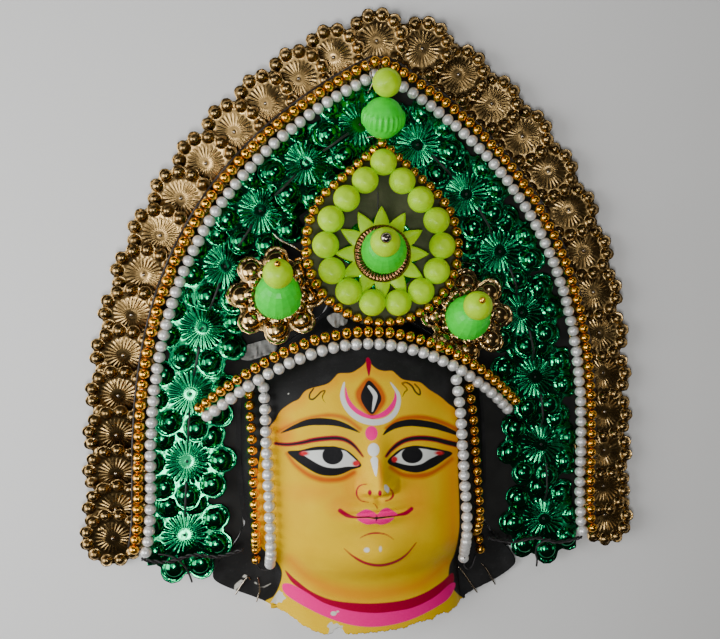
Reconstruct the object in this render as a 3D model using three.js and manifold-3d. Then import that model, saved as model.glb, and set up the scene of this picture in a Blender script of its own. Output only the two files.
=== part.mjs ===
// A dancer's mask: a painted papier-mache face under a tall pointed crown of stamped foil flowers,
// strung pearls and gilt beads. It lies on its back: +X to its left ear's side, +Y to the crown's tip,
// +Z out of the face. Millimetres.
import * as THREE from 'three';
import { mergeVertices } from 'three/addons/utils/BufferGeometryUtils.js';
import Module from 'manifold-3d';

const wasm = await Module();
wasm.setup();

// Crown arch, as the pearl strand draws it
const ARCH_HALF = 154;          // half-width at the feet
const ARCH_WAIST = [140, -110]; // pull of the side above the foot
const ARCH_SHOULDER = [187, 62]; // pull of the side below the tip
const ARCH_FOOT_Y = -160;
const ARCH_TIP_Y = 159;
const ARCH_STEPS = 14;          // straight pieces along each side of the arch
const BOARD_THICKNESS = 3;
const BOARD_LIP = 14;           // how far the board reaches outside the pearls
const BOARD_FOOT_Y = -166;

// Clearances
const GAP = 0.35;               // between pieces that lie on or beside each other
const SHELL_FIT = 0.8;          // between the face and the board around it

// Face shell
const FACE_X = -4;
const FACE_Y = -110;
const FACE_TURN = 3;            // degrees
const FACE_DEPTH = 61;
const HEAD_HALF = 86;
const HEM = 2;                  // flat edge around the head, before the wings widen it
const HEAD_TOP = 116;           // from the nose tip up to the shell's top edge
const NECK_DROP = 110;          // from the nose tip down to the neck's open end
const WALL = 5;
const FACE_ROWS = 28;           // rows of facets up the face
const FACE_COLUMNS = 20;
const HOLLOW_ROWS = 10;         // facets of the shell's inside
const HOLLOW_COLUMNS = 8;
const WING_HALF = 108;
const WING_SKEW = 6;            // the right wing hangs lower than the left by twice this

// Forms raised on the face: height, middle beside and above the nose tip, and spread each way
const NOSE = { height: 14, half: 7.5, foot: -8, bridge: 36, fade: [30, 46] };
const NOSTRILS = { height: 4.9, at: [9, 1], spread: [4.5, 5] };
const UPPER_LIP = { height: 4, at: [0, -12.5], spread: [20, 3.2] };
const LOWER_LIP = { height: 4, at: [0, -20], spread: [17, 4] };
const CHIN = { height: 4, at: [0, -44], spread: [17, 11] };
const CHEEKS = { height: 2.5, at: [36, -12], spread: [18, 16] };
const EYES = { height: 3, at: [33, 17], spread: [17, 9] };

// Foil flowers
const GREEN_RADIUS = 34;
const GREEN_DEPTH = 5.2;
const GREEN_INSET = 23.5;       // from the pearls in to the flowers' centres
const GREEN_RIGHT_BULGE = 6;    // the right row bows in further at its middle
const GREEN_LEFT_COUNT = 8;
const GREEN_RIGHT_COUNT = 7;
const GREEN_FIRST = 9;          // along the arch from its foot to the lowest centre
const GREEN_LAST = 351;         // and to the highest, on the left
const GREEN_LAST_RIGHT = 327;
const GREEN_MEET = 10;          // the line where the two rows meet under the finial
const RIM_RADIUS = 22.5;
const RIM_DEPTH = 4;
const RIM_OUTSET = 23.2;        // from the pearls out to the flowers' centres
const RIM_RIGHT_BULGE = 8;      // the right row stands further out near the tip
const RIM_LEFT_COUNT = 15;
const RIM_RIGHT_COUNT = 14;
const RIM_LAST_LEFT = 358;      // along the arch to the highest centre of the left row
const RIM_LAST_RIGHT = 360;
const RIM_TIP_DROP = 1;         // of the flower on the tip
const RIM_GROUP = 3;            // flowers stitched in one run
const STITCH_RADIUS = 1.2;
const SMALL_RADIUS = 21.5;
const SMALL_DEPTH = 3.6;

// Beads
const PEARL_RADIUS = 4;
const GILT_RADIUS = 3.65;
const STRAND_PITCH = 7.5;       // between the pearl strand and the gilt strand beside it
const BALL_RADIUS = 8.75;
const TOP_BALL_RADIUS = 9.3;
const BEAD_RADIUS = 14.8;       // the faceted green beads
const BEAD_HEIGHT = 25;
const FOOT_SHARE = 0.8;         // of the bead's radius at its foot
const FINIAL_RADIUS = 14;

// Brow arch, side strings and their places
const BROW_X = -10;
const BROW_Y = -17.5;
const BROW_HALF = 103;
const BROW_DROP = 50;           // of its ends below its middle
const BROW_END_LIFT = 9;         // of its ends above the green flowers
// How far the strings hang from the face's middle line, at their top and foot, and their foot's height
const STRINGS = {
  left: { pearls: [-69.5, -70.5], gilt: [-78.5, -79.5], end: -60 },
  right: { pearls: [57.5, 63], gilt: [67.5, 76], end: -69 },
};

// Medallion and rosettes
const MEDAL_X = 1.6;
const MEDAL_Y = 44.8;
const MEDAL_Z = 28.6;
const MEDAL_TILT = 8.5;         // degrees, its tip down towards the board
const MEDAL_RADIUS = 51;        // of the gilt beads' round part
const MEDAL_TIP = 68;           // from the round part's centre to the tip
const CARD_THICKNESS = 1.5;
const BALL_RING_RADIUS = 38.8;
const BALL_RING_TIP = 54.4;
const BALL_COUNT = 15;
const STAR_POINTS = 12;
const STAR_RADIUS = 31.5;
const STAR_INNER = 21;
const STAR_THICKNESS = 2;
const STAR_DROP = 5.5;          // of the star below the round part's centre
const STAR_SHIFT = -1;
const WASHER_RADIUS = 19;
const WASHER_HOLE = 9;
const WASHER_THICKNESS = 2;
const PIN_RADIUS = 3.4;
const THREAD_RADIUS = 0.8;
const ROSETTE_Z = 27;
const ROSETTE_TILT = 12;
// Leans of the bead and its ball in degrees, up the crown and to the right, and how far the foot has slipped
const MEDAL_BEAD = { lean: [5.5, -9], slip: [0, 0] };
const ROSETTES = {
  left: { at: [-67.9, 12.2], lean: [24, -4], slip: [0, -6] },
  right: { at: [61.5, -2], lean: [11, -2], slip: [-4, -4.5] },
};
const FINIAL_X = 0.8;
const FINIAL_Y = 128.6;
const FINIAL_LEAN = 26;         // degrees, its ball end up off the board

// Wires
const TIE_RADIUS = 1;
const TIE_ENDS = { left: [-157, -90], right: [155, 84] };
const TIE_SAG = [0, -3, 1, -1, 3];
const RIM_WIRE_RADIUS = 0.9;

// Facets of the round pieces
const STRAND_SIDES = 4;
const THIN_SIDES = 3;
const STRAND_KNOTS = 12;        // places along each half of the arch that its strands pass through
const HANG_KNOTS = 8;
const MEDAL_KNOTS = 24;
const BEAD_SIDES = 10;

const paint = (color, roughness, metalness = 0) =>
  new THREE.MeshStandardMaterial({ color, roughness, metalness });
const FACE = paint(0xe3b92f, 0.5);
const CARD = paint(0x37382f, 0.9);
const GREEN_FOIL = paint(0x05632f, 0.25, 0.9);
const GOLD_FOIL = paint(0x9b7a3a, 0.3, 0.9);
const PEARL = paint(0xe6e6e2, 0.35);
const GILT = paint(0xd08a20, 0.3, 0.8);
const LIME = paint(0xb9d60f, 0.3);
const GREEN_PLASTIC = paint(0x3fce46, 0.4);
const BLACK_WIRE = paint(0x1a1a1a, 0.6);
const STEEL = paint(0xa9a294, 0.3, 0.9);

const group = new THREE.Group();
const radians = THREE.MathUtils.degToRad;

// Adds one named piece to a parent group and returns it.
function piece(name, geometry, material, parent = group) {
  const mesh = new THREE.Mesh(geometry, material);
  mesh.name = name;
  parent.add(mesh);
  return mesh;
}

function triangles(points, faces) {
  const geometry = new THREE.BufferGeometry();
  geometry.setAttribute('position', new THREE.Float32BufferAttribute(points.flat(), 3));
  geometry.setIndex(faces.flat());
  return geometry;
}

// A closed mesh as a solid that can be joined and cut
function toSolid(geometry) {
  const bare = geometry.clone();
  bare.deleteAttribute('normal');
  bare.deleteAttribute('uv');
  const merged = mergeVertices(bare, 1e-3);
  return new wasm.Manifold(new wasm.Mesh({
    numProp: 3,
    vertProperties: new Float32Array(merged.attributes.position.array),
    triVerts: new Uint32Array(merged.index.array),
  }));
}

function toGeometry(solid) {
  const mesh = solid.getMesh();
  const geometry = new THREE.BufferGeometry();
  geometry.setAttribute('position', new THREE.Float32BufferAttribute(mesh.vertProperties, 3));
  geometry.setIndex(Array.from(mesh.triVerts));
  return geometry;
}

function placed(geometry, matrix) {
  return geometry.clone().applyMatrix4(matrix);
}

// A smooth function through knots of [place, value], with slopes taken across neighbouring knots
function through(knots) {
  const slope = (i) => {
    const a = knots[Math.max(i - 1, 0)];
    const b = knots[Math.min(i + 1, knots.length - 1)];
    return (b[1] - a[1]) / (b[0] - a[0]);
  };
  return (place) => {
    const x = THREE.MathUtils.clamp(place, knots[0][0], knots[knots.length - 1][0]);
    let i = 0;
    while (i < knots.length - 2 && x > knots[i + 1][0]) i += 1;
    const [x0, y0] = knots[i];
    const [x1, y1] = knots[i + 1];
    const span = x1 - x0;
    const t = (x - x0) / span;
    const ease = t * t * (3 - 2 * t);
    return y0 + (y1 - y0) * ease + span * t * (1 - t) * ((1 - t) * slope(i) - t * slope(i + 1));
  };
}

// The face's forms, as shares of its own length, half-width and depth
const crestShare = through([[-1, 0.61], [-0.77, 0.62], [-0.64, 0.7], [-0.51, 0.9], [-0.38, 1], [0, 0.98],
  [0.3, 1], [0.52, 0.95], [0.65, 0.87], [0.76, 0.745], [0.81, 0.68], [0.87, 0.53], [0.93, 0.33], [1, 0.1]]);
const headShare = through([[-1, 0.79], [-0.64, 0.775], [-0.52, 0.82], [-0.41, 0.91], [-0.27, 0.98], [0, 1],
  [0.3, 0.99], [0.52, 0.955], [0.6, 0.89], [0.69, 0.73], [0.78, 0.55], [0.86, 0.39], [0.95, 0.23], [1, 0.2]]);
const wingShare = through([[-0.97, 0.62], [-0.9, 0.69], [-0.73, 1], [-0.62, 0.98], [-0.5, 0.86],
  [-0.4, 0.8], [-0.3, 0.7], [-0.2, 0]]);

const faceShare = (v) => v / (v > 0 ? HEAD_TOP : NECK_DROP);
const headHalf = (v) => HEAD_HALF * headShare(faceShare(v));
const wingHalf = (v, side) => WING_HALF * wingShare((v + side * WING_SKEW) / NECK_DROP);
const rimHalf = (v, side) => Math.max(headHalf(v) + HEM, wingHalf(v, side));
const bump = (u, v, { height, at, spread }) =>
  height * Math.exp(-(((u - at[0]) / spread[0]) ** 2) - ((v - at[1]) / spread[1]) ** 2);

// Nose, lips, chin, cheeks and eyes, raised on the plain form
function relief(u, v) {
  const away = Math.abs(u);
  const smooth = THREE.MathUtils.smoothstep;
  const lowBridge = 0.15;
  const ridge = smooth(v, NOSE.foot, 0) * (1 - (1 - lowBridge) * smooth(v, 0, NOSE.bridge))
    * (1 - smooth(v, ...NOSE.fade));
  const nose = NOSE.height * ridge * Math.exp(-((u / NOSE.half) ** 2));
  const lips = bump(u, v, UPPER_LIP) + bump(u, v, LOWER_LIP);
  const sides = bump(away, v, NOSTRILS) + bump(away, v, CHEEKS) + bump(away, v, EYES);
  return nose + lips + bump(u, v, CHIN) + sides;
}

// Height of the face's outer skin at (u, v), measured from the nose along the face's own axes
function skin(u, v) {
  const share = Math.min(Math.abs(u) / headHalf(v), 1);
  const round = Math.sqrt(1 - share * share);
  return Math.max(FACE_DEPTH * crestShare(faceShare(v)) * round + relief(u, v) * round, WALL);
}

const turn = radians(FACE_TURN);
function faceToCrown(u, v) {
  return [FACE_X + u * Math.cos(turn) - v * Math.sin(turn), FACE_Y + u * Math.sin(turn) + v * Math.cos(turn)];
}

function crownToFace(x, y) {
  const dx = x - FACE_X;
  const dy = y - FACE_Y;
  return [dx * Math.cos(turn) + dy * Math.sin(turn), dy * Math.cos(turn) - dx * Math.sin(turn)];
}

// A grid of points closed by side walls down to a flat base at the height base
function gridSolid(rows, columns, point, base) {
  const points = [];
  for (let i = 0; i <= rows; i += 1) {
    for (let j = 0; j <= columns; j += 1) points.push(point(i / rows, (2 * j) / columns - 1));
  }
  const at = (i, j) => i * (columns + 1) + j;
  const faces = [];
  for (let i = 0; i < rows; i += 1) {
    for (let j = 0; j < columns; j += 1) {
      faces.push([at(i, j), at(i, j + 1), at(i + 1, j + 1)], [at(i, j), at(i + 1, j + 1), at(i + 1, j)]);
    }
  }
  const ring = [];
  for (let j = 0; j < columns; j += 1) ring.push(at(0, j));
  for (let i = 0; i < rows; i += 1) ring.push(at(i, columns));
  for (let j = columns; j > 0; j -= 1) ring.push(at(rows, j));
  for (let i = rows; i > 0; i -= 1) ring.push(at(i, 0));
  const first = points.length;
  ring.forEach((index) => points.push([points[index][0], points[index][1], base]));
  ring.forEach((index, k) => {
    const next = (k + 1) % ring.length;
    faces.push([first + k, first + next, ring[next]], [first + k, ring[next], index]);
  });
  const outline = ring.map((index) => new THREE.Vector2(points[index][0], points[index][1]));
  THREE.ShapeUtils.triangulateShape(outline, []).forEach(([a, b, c]) => {
    faces.push([first + a, first + c, first + b]);
  });
  return triangles(points, faces);
}

// Where a column crosses a row: closer together at the face's middle line, the last one out on the rim
function across(s, v) {
  const side = Math.sign(s);
  const head = 1 - 2 / FACE_COLUMNS;
  return Math.abs(s) > 0.999 ? side * rimHalf(v, side) : side * headHalf(v) * (Math.abs(s) / head) ** 1.25;
}

function faceMask() {
  const outer = gridSolid(FACE_ROWS, FACE_COLUMNS, (t, s) => {
    const v = -NECK_DROP + t * (NECK_DROP + HEAD_TOP);
    const u = across(s, v);
    return [u, v, skin(u, v)];
  }, 0);
  const inner = gridSolid(HOLLOW_ROWS, HOLLOW_COLUMNS, (t, s) => {
    const v = -NECK_DROP - WALL + t * (NECK_DROP + HEAD_TOP);
    const half = headHalf(v) - WALL;
    const depth = FACE_DEPTH * Math.min(crestShare(faceShare(v)), crestShare(faceShare(v + WALL))) - WALL;
    const u = half * Math.sin((s * Math.PI) / 2);
    return [u, v, Math.max(depth, 0) * Math.cos((s * Math.PI) / 2)];
  }, -WALL);
  return toGeometry(toSolid(outer).subtract(toSolid(inner)));
}

// The pearl arch: one side as a curve from its foot up to the tip, and points read along it
const archSide = new THREE.CubicBezierCurve(new THREE.Vector2(ARCH_HALF, ARCH_FOOT_Y),
  new THREE.Vector2(...ARCH_WAIST), new THREE.Vector2(...ARCH_SHOULDER), new THREE.Vector2(0, ARCH_TIP_Y));
const ARCH_LENGTH = archSide.getLength();

// A place at a distance along one side and an offset outside it, with the heading up the arch
function alongArch(distance, outset, side) {
  const share = THREE.MathUtils.clamp(distance / ARCH_LENGTH, 0, 1);
  const spot = archSide.getPointAt(share);
  const heading = archSide.getTangentAt(share);
  const x = spot.x + heading.y * outset;
  const y = spot.y - heading.x * outset;
  return { x: side * x, y, heading: Math.atan2(heading.y, side * heading.x) };
}

// The whole arch at an offset, from the left foot over the tip to the right foot
function archPoints(outset, steps) {
  const points = [];
  for (const side of [-1, 1]) {
    for (let i = 0; i <= steps; i += 1) {
      const share = side < 0 ? i / steps : 1 - i / steps;
      const spot = alongArch(share * ARCH_LENGTH, outset, side);
      if (side * spot.x >= 0) points.push(new THREE.Vector2(spot.x, spot.y));
    }
  }
  return points.filter((point, i) => i === 0 || point.distanceTo(points[i - 1]) > GAP);
}

function prism(points, bottom, top) {
  return toSolid(disc(points, top - bottom).translate(0, 0, bottom));
}

// The face's outline on the board, from a half-width at each height, with room around it
function faceOutline(half) {
  const points = [];
  for (const side of [-1, 1]) {
    for (let i = 0; i <= FACE_ROWS; i += 1) {
      const t = side > 0 ? i / FACE_ROWS : 1 - i / FACE_ROWS;
      const v = -NECK_DROP + t * (NECK_DROP + HEAD_TOP);
      points.push(new THREE.Vector2(...faceToCrown(side * (half(v, side) + SHELL_FIT), v + t * SHELL_FIT)));
    }
  }
  return points;
}

// Card board behind everything, open where the face sits in it
function crownBoard() {
  const rim = archPoints(BOARD_LIP, ARCH_STEPS);
  rim.push(new THREE.Vector2(rim[rim.length - 1].x, BOARD_FOOT_Y), new THREE.Vector2(rim[0].x, BOARD_FOOT_Y));
  const board = prism(rim.reverse(), 0, BOARD_THICKNESS);
  return toGeometry(board.subtract(prism(faceOutline(rimHalf), -WALL, FACE_DEPTH)));
}

// A stamped foil flower with round domes: rings of [radius share, height at a dome, height in a valley]
function domedFlower(lobes, radius, depth) {
  const rings = [[0.45, 0.6, 0.5], [0.77, 1, 0.25], [1, 0, 0]];
  const valleyEdge = 0.84;
  const spokes = 2 * lobes;
  const points = [[0, 0, depth * 0.35], [0, 0, 0]];
  rings.forEach(([share, dome, valley]) => {
    for (let k = 0; k < spokes; k += 1) {
      const inValley = k % 2 === 1;
      const reach = radius * (inValley && share === 1 ? valleyEdge : share);
      const angle = (k / spokes) * 2 * Math.PI;
      points.push([reach * Math.cos(angle), reach * Math.sin(angle), depth * (inValley ? valley : dome)]);
    }
  });
  const at = (ring, k) => 2 + ring * spokes + (k % spokes);
  const faces = [];
  for (let k = 0; k < spokes; k += 1) {
    faces.push([0, at(0, k), at(0, k + 1)], [1, at(rings.length - 1, k + 1), at(rings.length - 1, k)]);
    for (let ring = 0; ring < rings.length - 1; ring += 1) {
      faces.push([at(ring, k), at(ring + 1, k), at(ring + 1, k + 1)]);
      faces.push([at(ring, k), at(ring + 1, k + 1), at(ring, k + 1)]);
    }
  }
  return triangles(points, faces);
}

// A smaller flower with one ring of dome tops and a scalloped edge
function scallopedFlower(lobes, radius, depth) {
  const crest = 0.74;
  const valleyEdge = 0.86;
  const points = [[0, 0, depth * 0.6], [0, 0, 0]];
  for (let k = 0; k < lobes; k += 1) {
    const angle = (k / lobes) * 2 * Math.PI;
    const between = ((k + 0.5) / lobes) * 2 * Math.PI;
    points.push([radius * crest * Math.cos(angle), radius * crest * Math.sin(angle), depth]);
    points.push([radius * Math.cos(angle), radius * Math.sin(angle), 0]);
    points.push([radius * valleyEdge * Math.cos(between), radius * valleyEdge * Math.sin(between), 0]);
  }
  const top = (k) => 2 + 3 * (k % lobes);
  const tip = (k) => top(k) + 1;
  const valley = (k) => top(k) + 2;
  const faces = [];
  for (let k = 0; k < lobes; k += 1) {
    faces.push([0, top(k), top(k + 1)], [top(k), tip(k), valley(k)], [top(k), valley(k), top(k + 1)]);
    faces.push([top(k + 1), valley(k), tip(k + 1)], [1, valley(k), tip(k)], [1, tip(k + 1), valley(k)]);
  }
  return triangles(points, faces);
}

// Lays a flower on the board along the arch, tilted so that the next one lies over it like a roof tile
function shingle(spot, radius, tilt, spin) {
  const height = BOARD_THICKNESS + GAP + radius * Math.sin(Math.abs(tilt));
  return new THREE.Matrix4().makeTranslation(spot.x, spot.y, height)
    .multiply(new THREE.Matrix4().makeRotationZ(spot.heading))
    .multiply(new THREE.Matrix4().makeRotationY(tilt))
    .multiply(new THREE.Matrix4().makeRotationZ(spin));
}

const GREEN_PITCH = (GREEN_LAST - GREEN_FIRST) / (GREEN_LEFT_COUNT - 1);
const GREEN_LAP = GREEN_DEPTH + 4 * GAP; // each flower rises by this over the next one's pitch
const GREEN_LIFT = 2 * GREEN_RADIUS * Math.sin(Math.atan(GREEN_LAP / GREEN_PITCH));
const GREEN_TOP = BOARD_THICKNESS + GAP + GREEN_DEPTH + GREEN_LIFT;

// Green flowers in two rows, each upper one over the lower, trimmed under the pearls and beside the face
function greenFlowers() {
  const shape = domedFlower(8, GREEN_RADIUS, GREEN_DEPTH);
  const inside = (side) => {
    const half = archPoints(0, ARCH_STEPS).map((p) => new THREE.Vector2(
      side * Math.max(side * p.x, side * GREEN_MEET + GAP / 2), p.y));
    const foot = side < 0 ? half[0] : half[half.length - 1];
    const under = new THREE.Vector2(foot.x, foot.y - 2 * GREEN_RADIUS);
    const meet = new THREE.Vector2(GREEN_MEET + (side * GAP) / 2, under.y);
    if (side < 0) half.unshift(meet, under);
    else half.push(under, meet);
    return prism(half, 0, FACE_DEPTH);
  };
  const halves = { '-1': inside(-1), 1: inside(1) };
  const face = prism(faceOutline(headHalf), 0, FACE_DEPTH);
  const rows = [
    [-1, GREEN_LEFT_COUNT, GREEN_LAST, 0],
    [1, GREEN_RIGHT_COUNT, GREEN_LAST_RIGHT, GREEN_RIGHT_BULGE],
  ];
  let number = 1;
  rows.forEach(([side, count, last, bulge]) => {
    const pitch = (last - GREEN_FIRST) / (count - 1);
    const tilt = Math.atan(GREEN_LAP / pitch);
    for (let i = 0; i < count; i += 1) {
      const share = i / (count - 1);
      const inset = GREEN_INSET + bulge * Math.sin(Math.PI * share) ** 2;
      const spot = alongArch(GREEN_FIRST + pitch * i, -inset, side);
      const flower = toSolid(placed(shape, shingle(spot, GREEN_RADIUS, tilt, Math.PI / 8 + number)));
      const trimmed = flower.intersect(halves[side]).subtract(face);
      piece(`green_flower_${String(number).padStart(2, '0')}`, toGeometry(trimmed), GREEN_FOIL);
      number += 1;
    }
  });
}

// Gold flowers around the rim, each over the one before it going clockwise, stitched in short runs
function rimFlowers() {
  const shape = scallopedFlower(12, RIM_RADIUS, RIM_DEPTH);
  const spots = [];
  for (let i = 0; i < RIM_LEFT_COUNT; i += 1) {
    const distance = (RIM_LAST_LEFT * i) / (RIM_LEFT_COUNT - 1);
    spots.push(alongArch(distance, RIM_OUTSET, -1));
  }
  spots.push({ x: 0, y: ARCH_TIP_Y + RIM_OUTSET - RIM_TIP_DROP, heading: 0 });
  for (let i = RIM_RIGHT_COUNT - 1; i >= 0; i -= 1) {
    const share = i / (RIM_RIGHT_COUNT - 1);
    const outset = RIM_OUTSET + RIM_RIGHT_BULGE * THREE.MathUtils.smoothstep(share, 0.3, 0.75);
    const spot = alongArch(RIM_LAST_RIGHT * share, outset, 1);
    spots.push({ ...spot, heading: spot.heading + Math.PI });
  }
  const pitch = spots.slice(1).reduce((least, spot, i) =>
    Math.min(least, Math.hypot(spot.x - spots[i].x, spot.y - spots[i].y)), RIM_RADIUS * 2);
  const tilt = -Math.atan((RIM_DEPTH + 2 * GAP) / pitch);
  for (let first = 0; first < spots.length; first += RIM_GROUP) {
    const run = spots.slice(first, first + RIM_GROUP);
    let joined = null;
    run.forEach((spot, i) => {
      const flower = toSolid(placed(shape, shingle(spot, RIM_RADIUS, tilt, first + i)));
      joined = joined ? joined.add(flower) : flower;
      if (i > 0) {
        const before = run[i - 1];
        const stitch = new THREE.CylinderGeometry(STITCH_RADIUS, STITCH_RADIUS, RIM_DEPTH * 1.6, THIN_SIDES);
        stitch.rotateX(Math.PI / 2);
        stitch.translate((spot.x + before.x) / 2, (spot.y + before.y) / 2,
          BOARD_THICKNESS + GAP + RIM_RADIUS * Math.sin(-tilt) + RIM_DEPTH / 2);
        joined = joined.add(toSolid(stitch));
      }
    });
    piece(`rim_flowers_${String(first / RIM_GROUP + 1).padStart(2, '0')}`, toGeometry(joined), GOLD_FOIL);
  }
}

// A strand as a tube along points, with few sides
function strand(points, radius, sides, steps, closed = false) {
  const section = new THREE.Shape();
  for (let k = 0; k < sides; k += 1) {
    const angle = ((k + 0.5) / sides) * 2 * Math.PI;
    const corner = [radius * Math.cos(angle), radius * Math.sin(angle)];
    if (k === 0) section.moveTo(...corner);
    else section.lineTo(...corner);
  }
  const path = new THREE.CatmullRomCurve3(points, closed, 'catmullrom', 0.5);
  return new THREE.ExtrudeGeometry(section, { steps, extrudePath: path, bevelEnabled: false });
}

const RIM_STRAND_Z = GREEN_TOP + PEARL_RADIUS + GAP;

// Pearls and gilt beads along the arch, and the black wire outside them
function rimStrands() {
  const lift = (points) => points.map((point) => new THREE.Vector3(point.x, point.y, RIM_STRAND_Z));
  const steps = 2 * (ARCH_STEPS - 1);
  const wireOut = STRAND_PITCH + GILT_RADIUS + GAP + RIM_WIRE_RADIUS;
  const along = (outset) => lift(archPoints(outset, STRAND_KNOTS));
  piece('rim_pearls', strand(along(0), PEARL_RADIUS, STRAND_SIDES, steps), PEARL);
  piece('rim_gilt_beads', strand(along(STRAND_PITCH + GAP), GILT_RADIUS, STRAND_SIDES, steps), GILT);
  piece('rim_wire', strand(along(wireOut + GAP), RIM_WIRE_RADIUS, THIN_SIDES, steps), BLACK_WIRE);
}

// The brow arch: pearls below, gilt beads above, across the top of the face
function browStrands() {
  const flat = PEARL_RADIUS * Math.SQRT1_2;
  const middle = skin(...crownToFace(BROW_X, BROW_Y - flat)) + flat + 2 * GAP;
  const end = GREEN_TOP + BROW_END_LIFT;
  const points = (raise) => {
    const list = [];
    for (let i = 0; i <= HANG_KNOTS; i += 1) {
      const share = (2 * i) / HANG_KNOTS - 1;
      const slope = (2 * BROW_DROP * share) / BROW_HALF;
      const lean = Math.hypot(1, slope);
      const z = middle + (end - middle) * share ** 4;
      list.push(new THREE.Vector3(BROW_X + BROW_HALF * share + (raise * slope) / lean,
        BROW_Y - BROW_DROP * share * share + raise / lean, z));
    }
    return list;
  };
  const steps = 2 * HANG_KNOTS;
  piece('brow_pearls', strand(points(0), PEARL_RADIUS, STRAND_SIDES, steps), PEARL);
  piece('brow_gilt_beads', strand(points(STRAND_PITCH + GAP), GILT_RADIUS, STRAND_SIDES, steps), GILT);
}

// Strings hanging from the brow arch down both sides of the face, lying on its skin
function sideStrings() {
  const rest = (u, v, radius) => {
    let height = 0;
    for (const near of [-radius, 0, radius]) height = Math.max(height, skin(Math.abs(u) + near, v));
    return height + radius + 3 * GAP;
  };
  const top = (u, radius) => {
    let v = 0;
    for (let pass = 0; pass < 3; pass += 1) {
      const [x] = faceToCrown(u, v);
      const share = (x - BROW_X) / BROW_HALF;
      const slope = (2 * BROW_DROP * Math.abs(share)) / BROW_HALF;
      const drop = (PEARL_RADIUS + GAP) * Math.hypot(1, slope) + radius * slope + 1;
      v = crownToFace(x, BROW_Y - BROW_DROP * share * share - drop)[1];
    }
    return v;
  };
  const hang = ([head, foot], end, radius) => {
    const points = [];
    const start = top(head, radius);
    for (let i = 0; i <= HANG_KNOTS; i += 1) {
      const share = i / HANG_KNOTS;
      const u = head + share * (foot - head);
      const v = start + share * (end - start);
      points.push(new THREE.Vector3(...faceToCrown(u, v), rest(u, v, radius)));
    }
    return strand(points, radius, STRAND_SIDES, HANG_KNOTS);
  };
  Object.entries(STRINGS).forEach(([name, { pearls, gilt, end }]) => {
    piece(`string_pearls_${name}`, hang(pearls, end, PEARL_RADIUS), PEARL);
    piece(`string_gilt_${name}`, hang(gilt, end, GILT_RADIUS), GILT);
  });
}

// A drop shape: a circle drawn out to a tip by its two tangents; count places spaced evenly from the tip
function dropPoints(radius, tip, count) {
  const half = Math.acos(radius / tip);
  const straight = Math.sqrt(tip * tip - radius * radius);
  const arc = 2 * (Math.PI - half) * radius;
  const total = arc + 2 * straight;
  const points = [];
  for (let k = 0; k < count; k += 1) {
    const run = (k / count) * total;
    const touch = new THREE.Vector2(Math.sin(half), Math.cos(half)).multiplyScalar(radius);
    if (run < straight) {
      points.push(new THREE.Vector2(0, tip).lerp(touch, run / straight));
    } else if (run > straight + arc) {
      touch.x = -touch.x;
      points.push(touch.lerp(new THREE.Vector2(0, tip), (run - straight - arc) / straight));
    } else {
      const angle = half + (run - straight) / radius;
      points.push(new THREE.Vector2(Math.sin(angle), Math.cos(angle)).multiplyScalar(radius));
    }
  }
  return points;
}

function disc(points, thickness) {
  return new THREE.ExtrudeGeometry(new THREE.Shape(points), { depth: thickness, bevelEnabled: false });
}

// A moulded bead with flat facets, wide near its foot and narrow at the top, its foot at z = 0
function facetedBead(radius, height) {
  const profile = [[0, 0], [FOOT_SHARE, 0], [1, 0.3], [0.78, 0.75], [0.3, 1], [0, 1]];
  const points = profile.map(([r, z]) => new THREE.Vector2(r * radius, z * height));
  return new THREE.LatheGeometry(points, BEAD_SIDES).rotateX(Math.PI / 2);
}

function ball(radius, z) {
  return new THREE.SphereGeometry(radius, 7, 4).rotateX(Math.PI / 2).translate(0, 0, z);
}

// A bead that leans on its foot's edge, with a ball on it
function leaningBead(name, base, z, { lean: [up, right], slip: [x, y] }) {
  const stand = new THREE.Group();
  const off = Math.acos(Math.cos(radians(up)) * Math.cos(radians(right)));
  stand.position.set(x, y, z + FOOT_SHARE * BEAD_RADIUS * Math.sin(off));
  stand.rotation.set(radians(-up), radians(right), 0);
  base.add(stand);
  piece(name('bead'), facetedBead(BEAD_RADIUS, BEAD_HEIGHT), GREEN_PLASTIC, stand);
  const ballZ = BEAD_HEIGHT + GAP + TOP_BALL_RADIUS;
  piece(name('ball'), ball(TOP_BALL_RADIUS, ballZ), LIME, stand);
  return [stand, ballZ];
}

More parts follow.
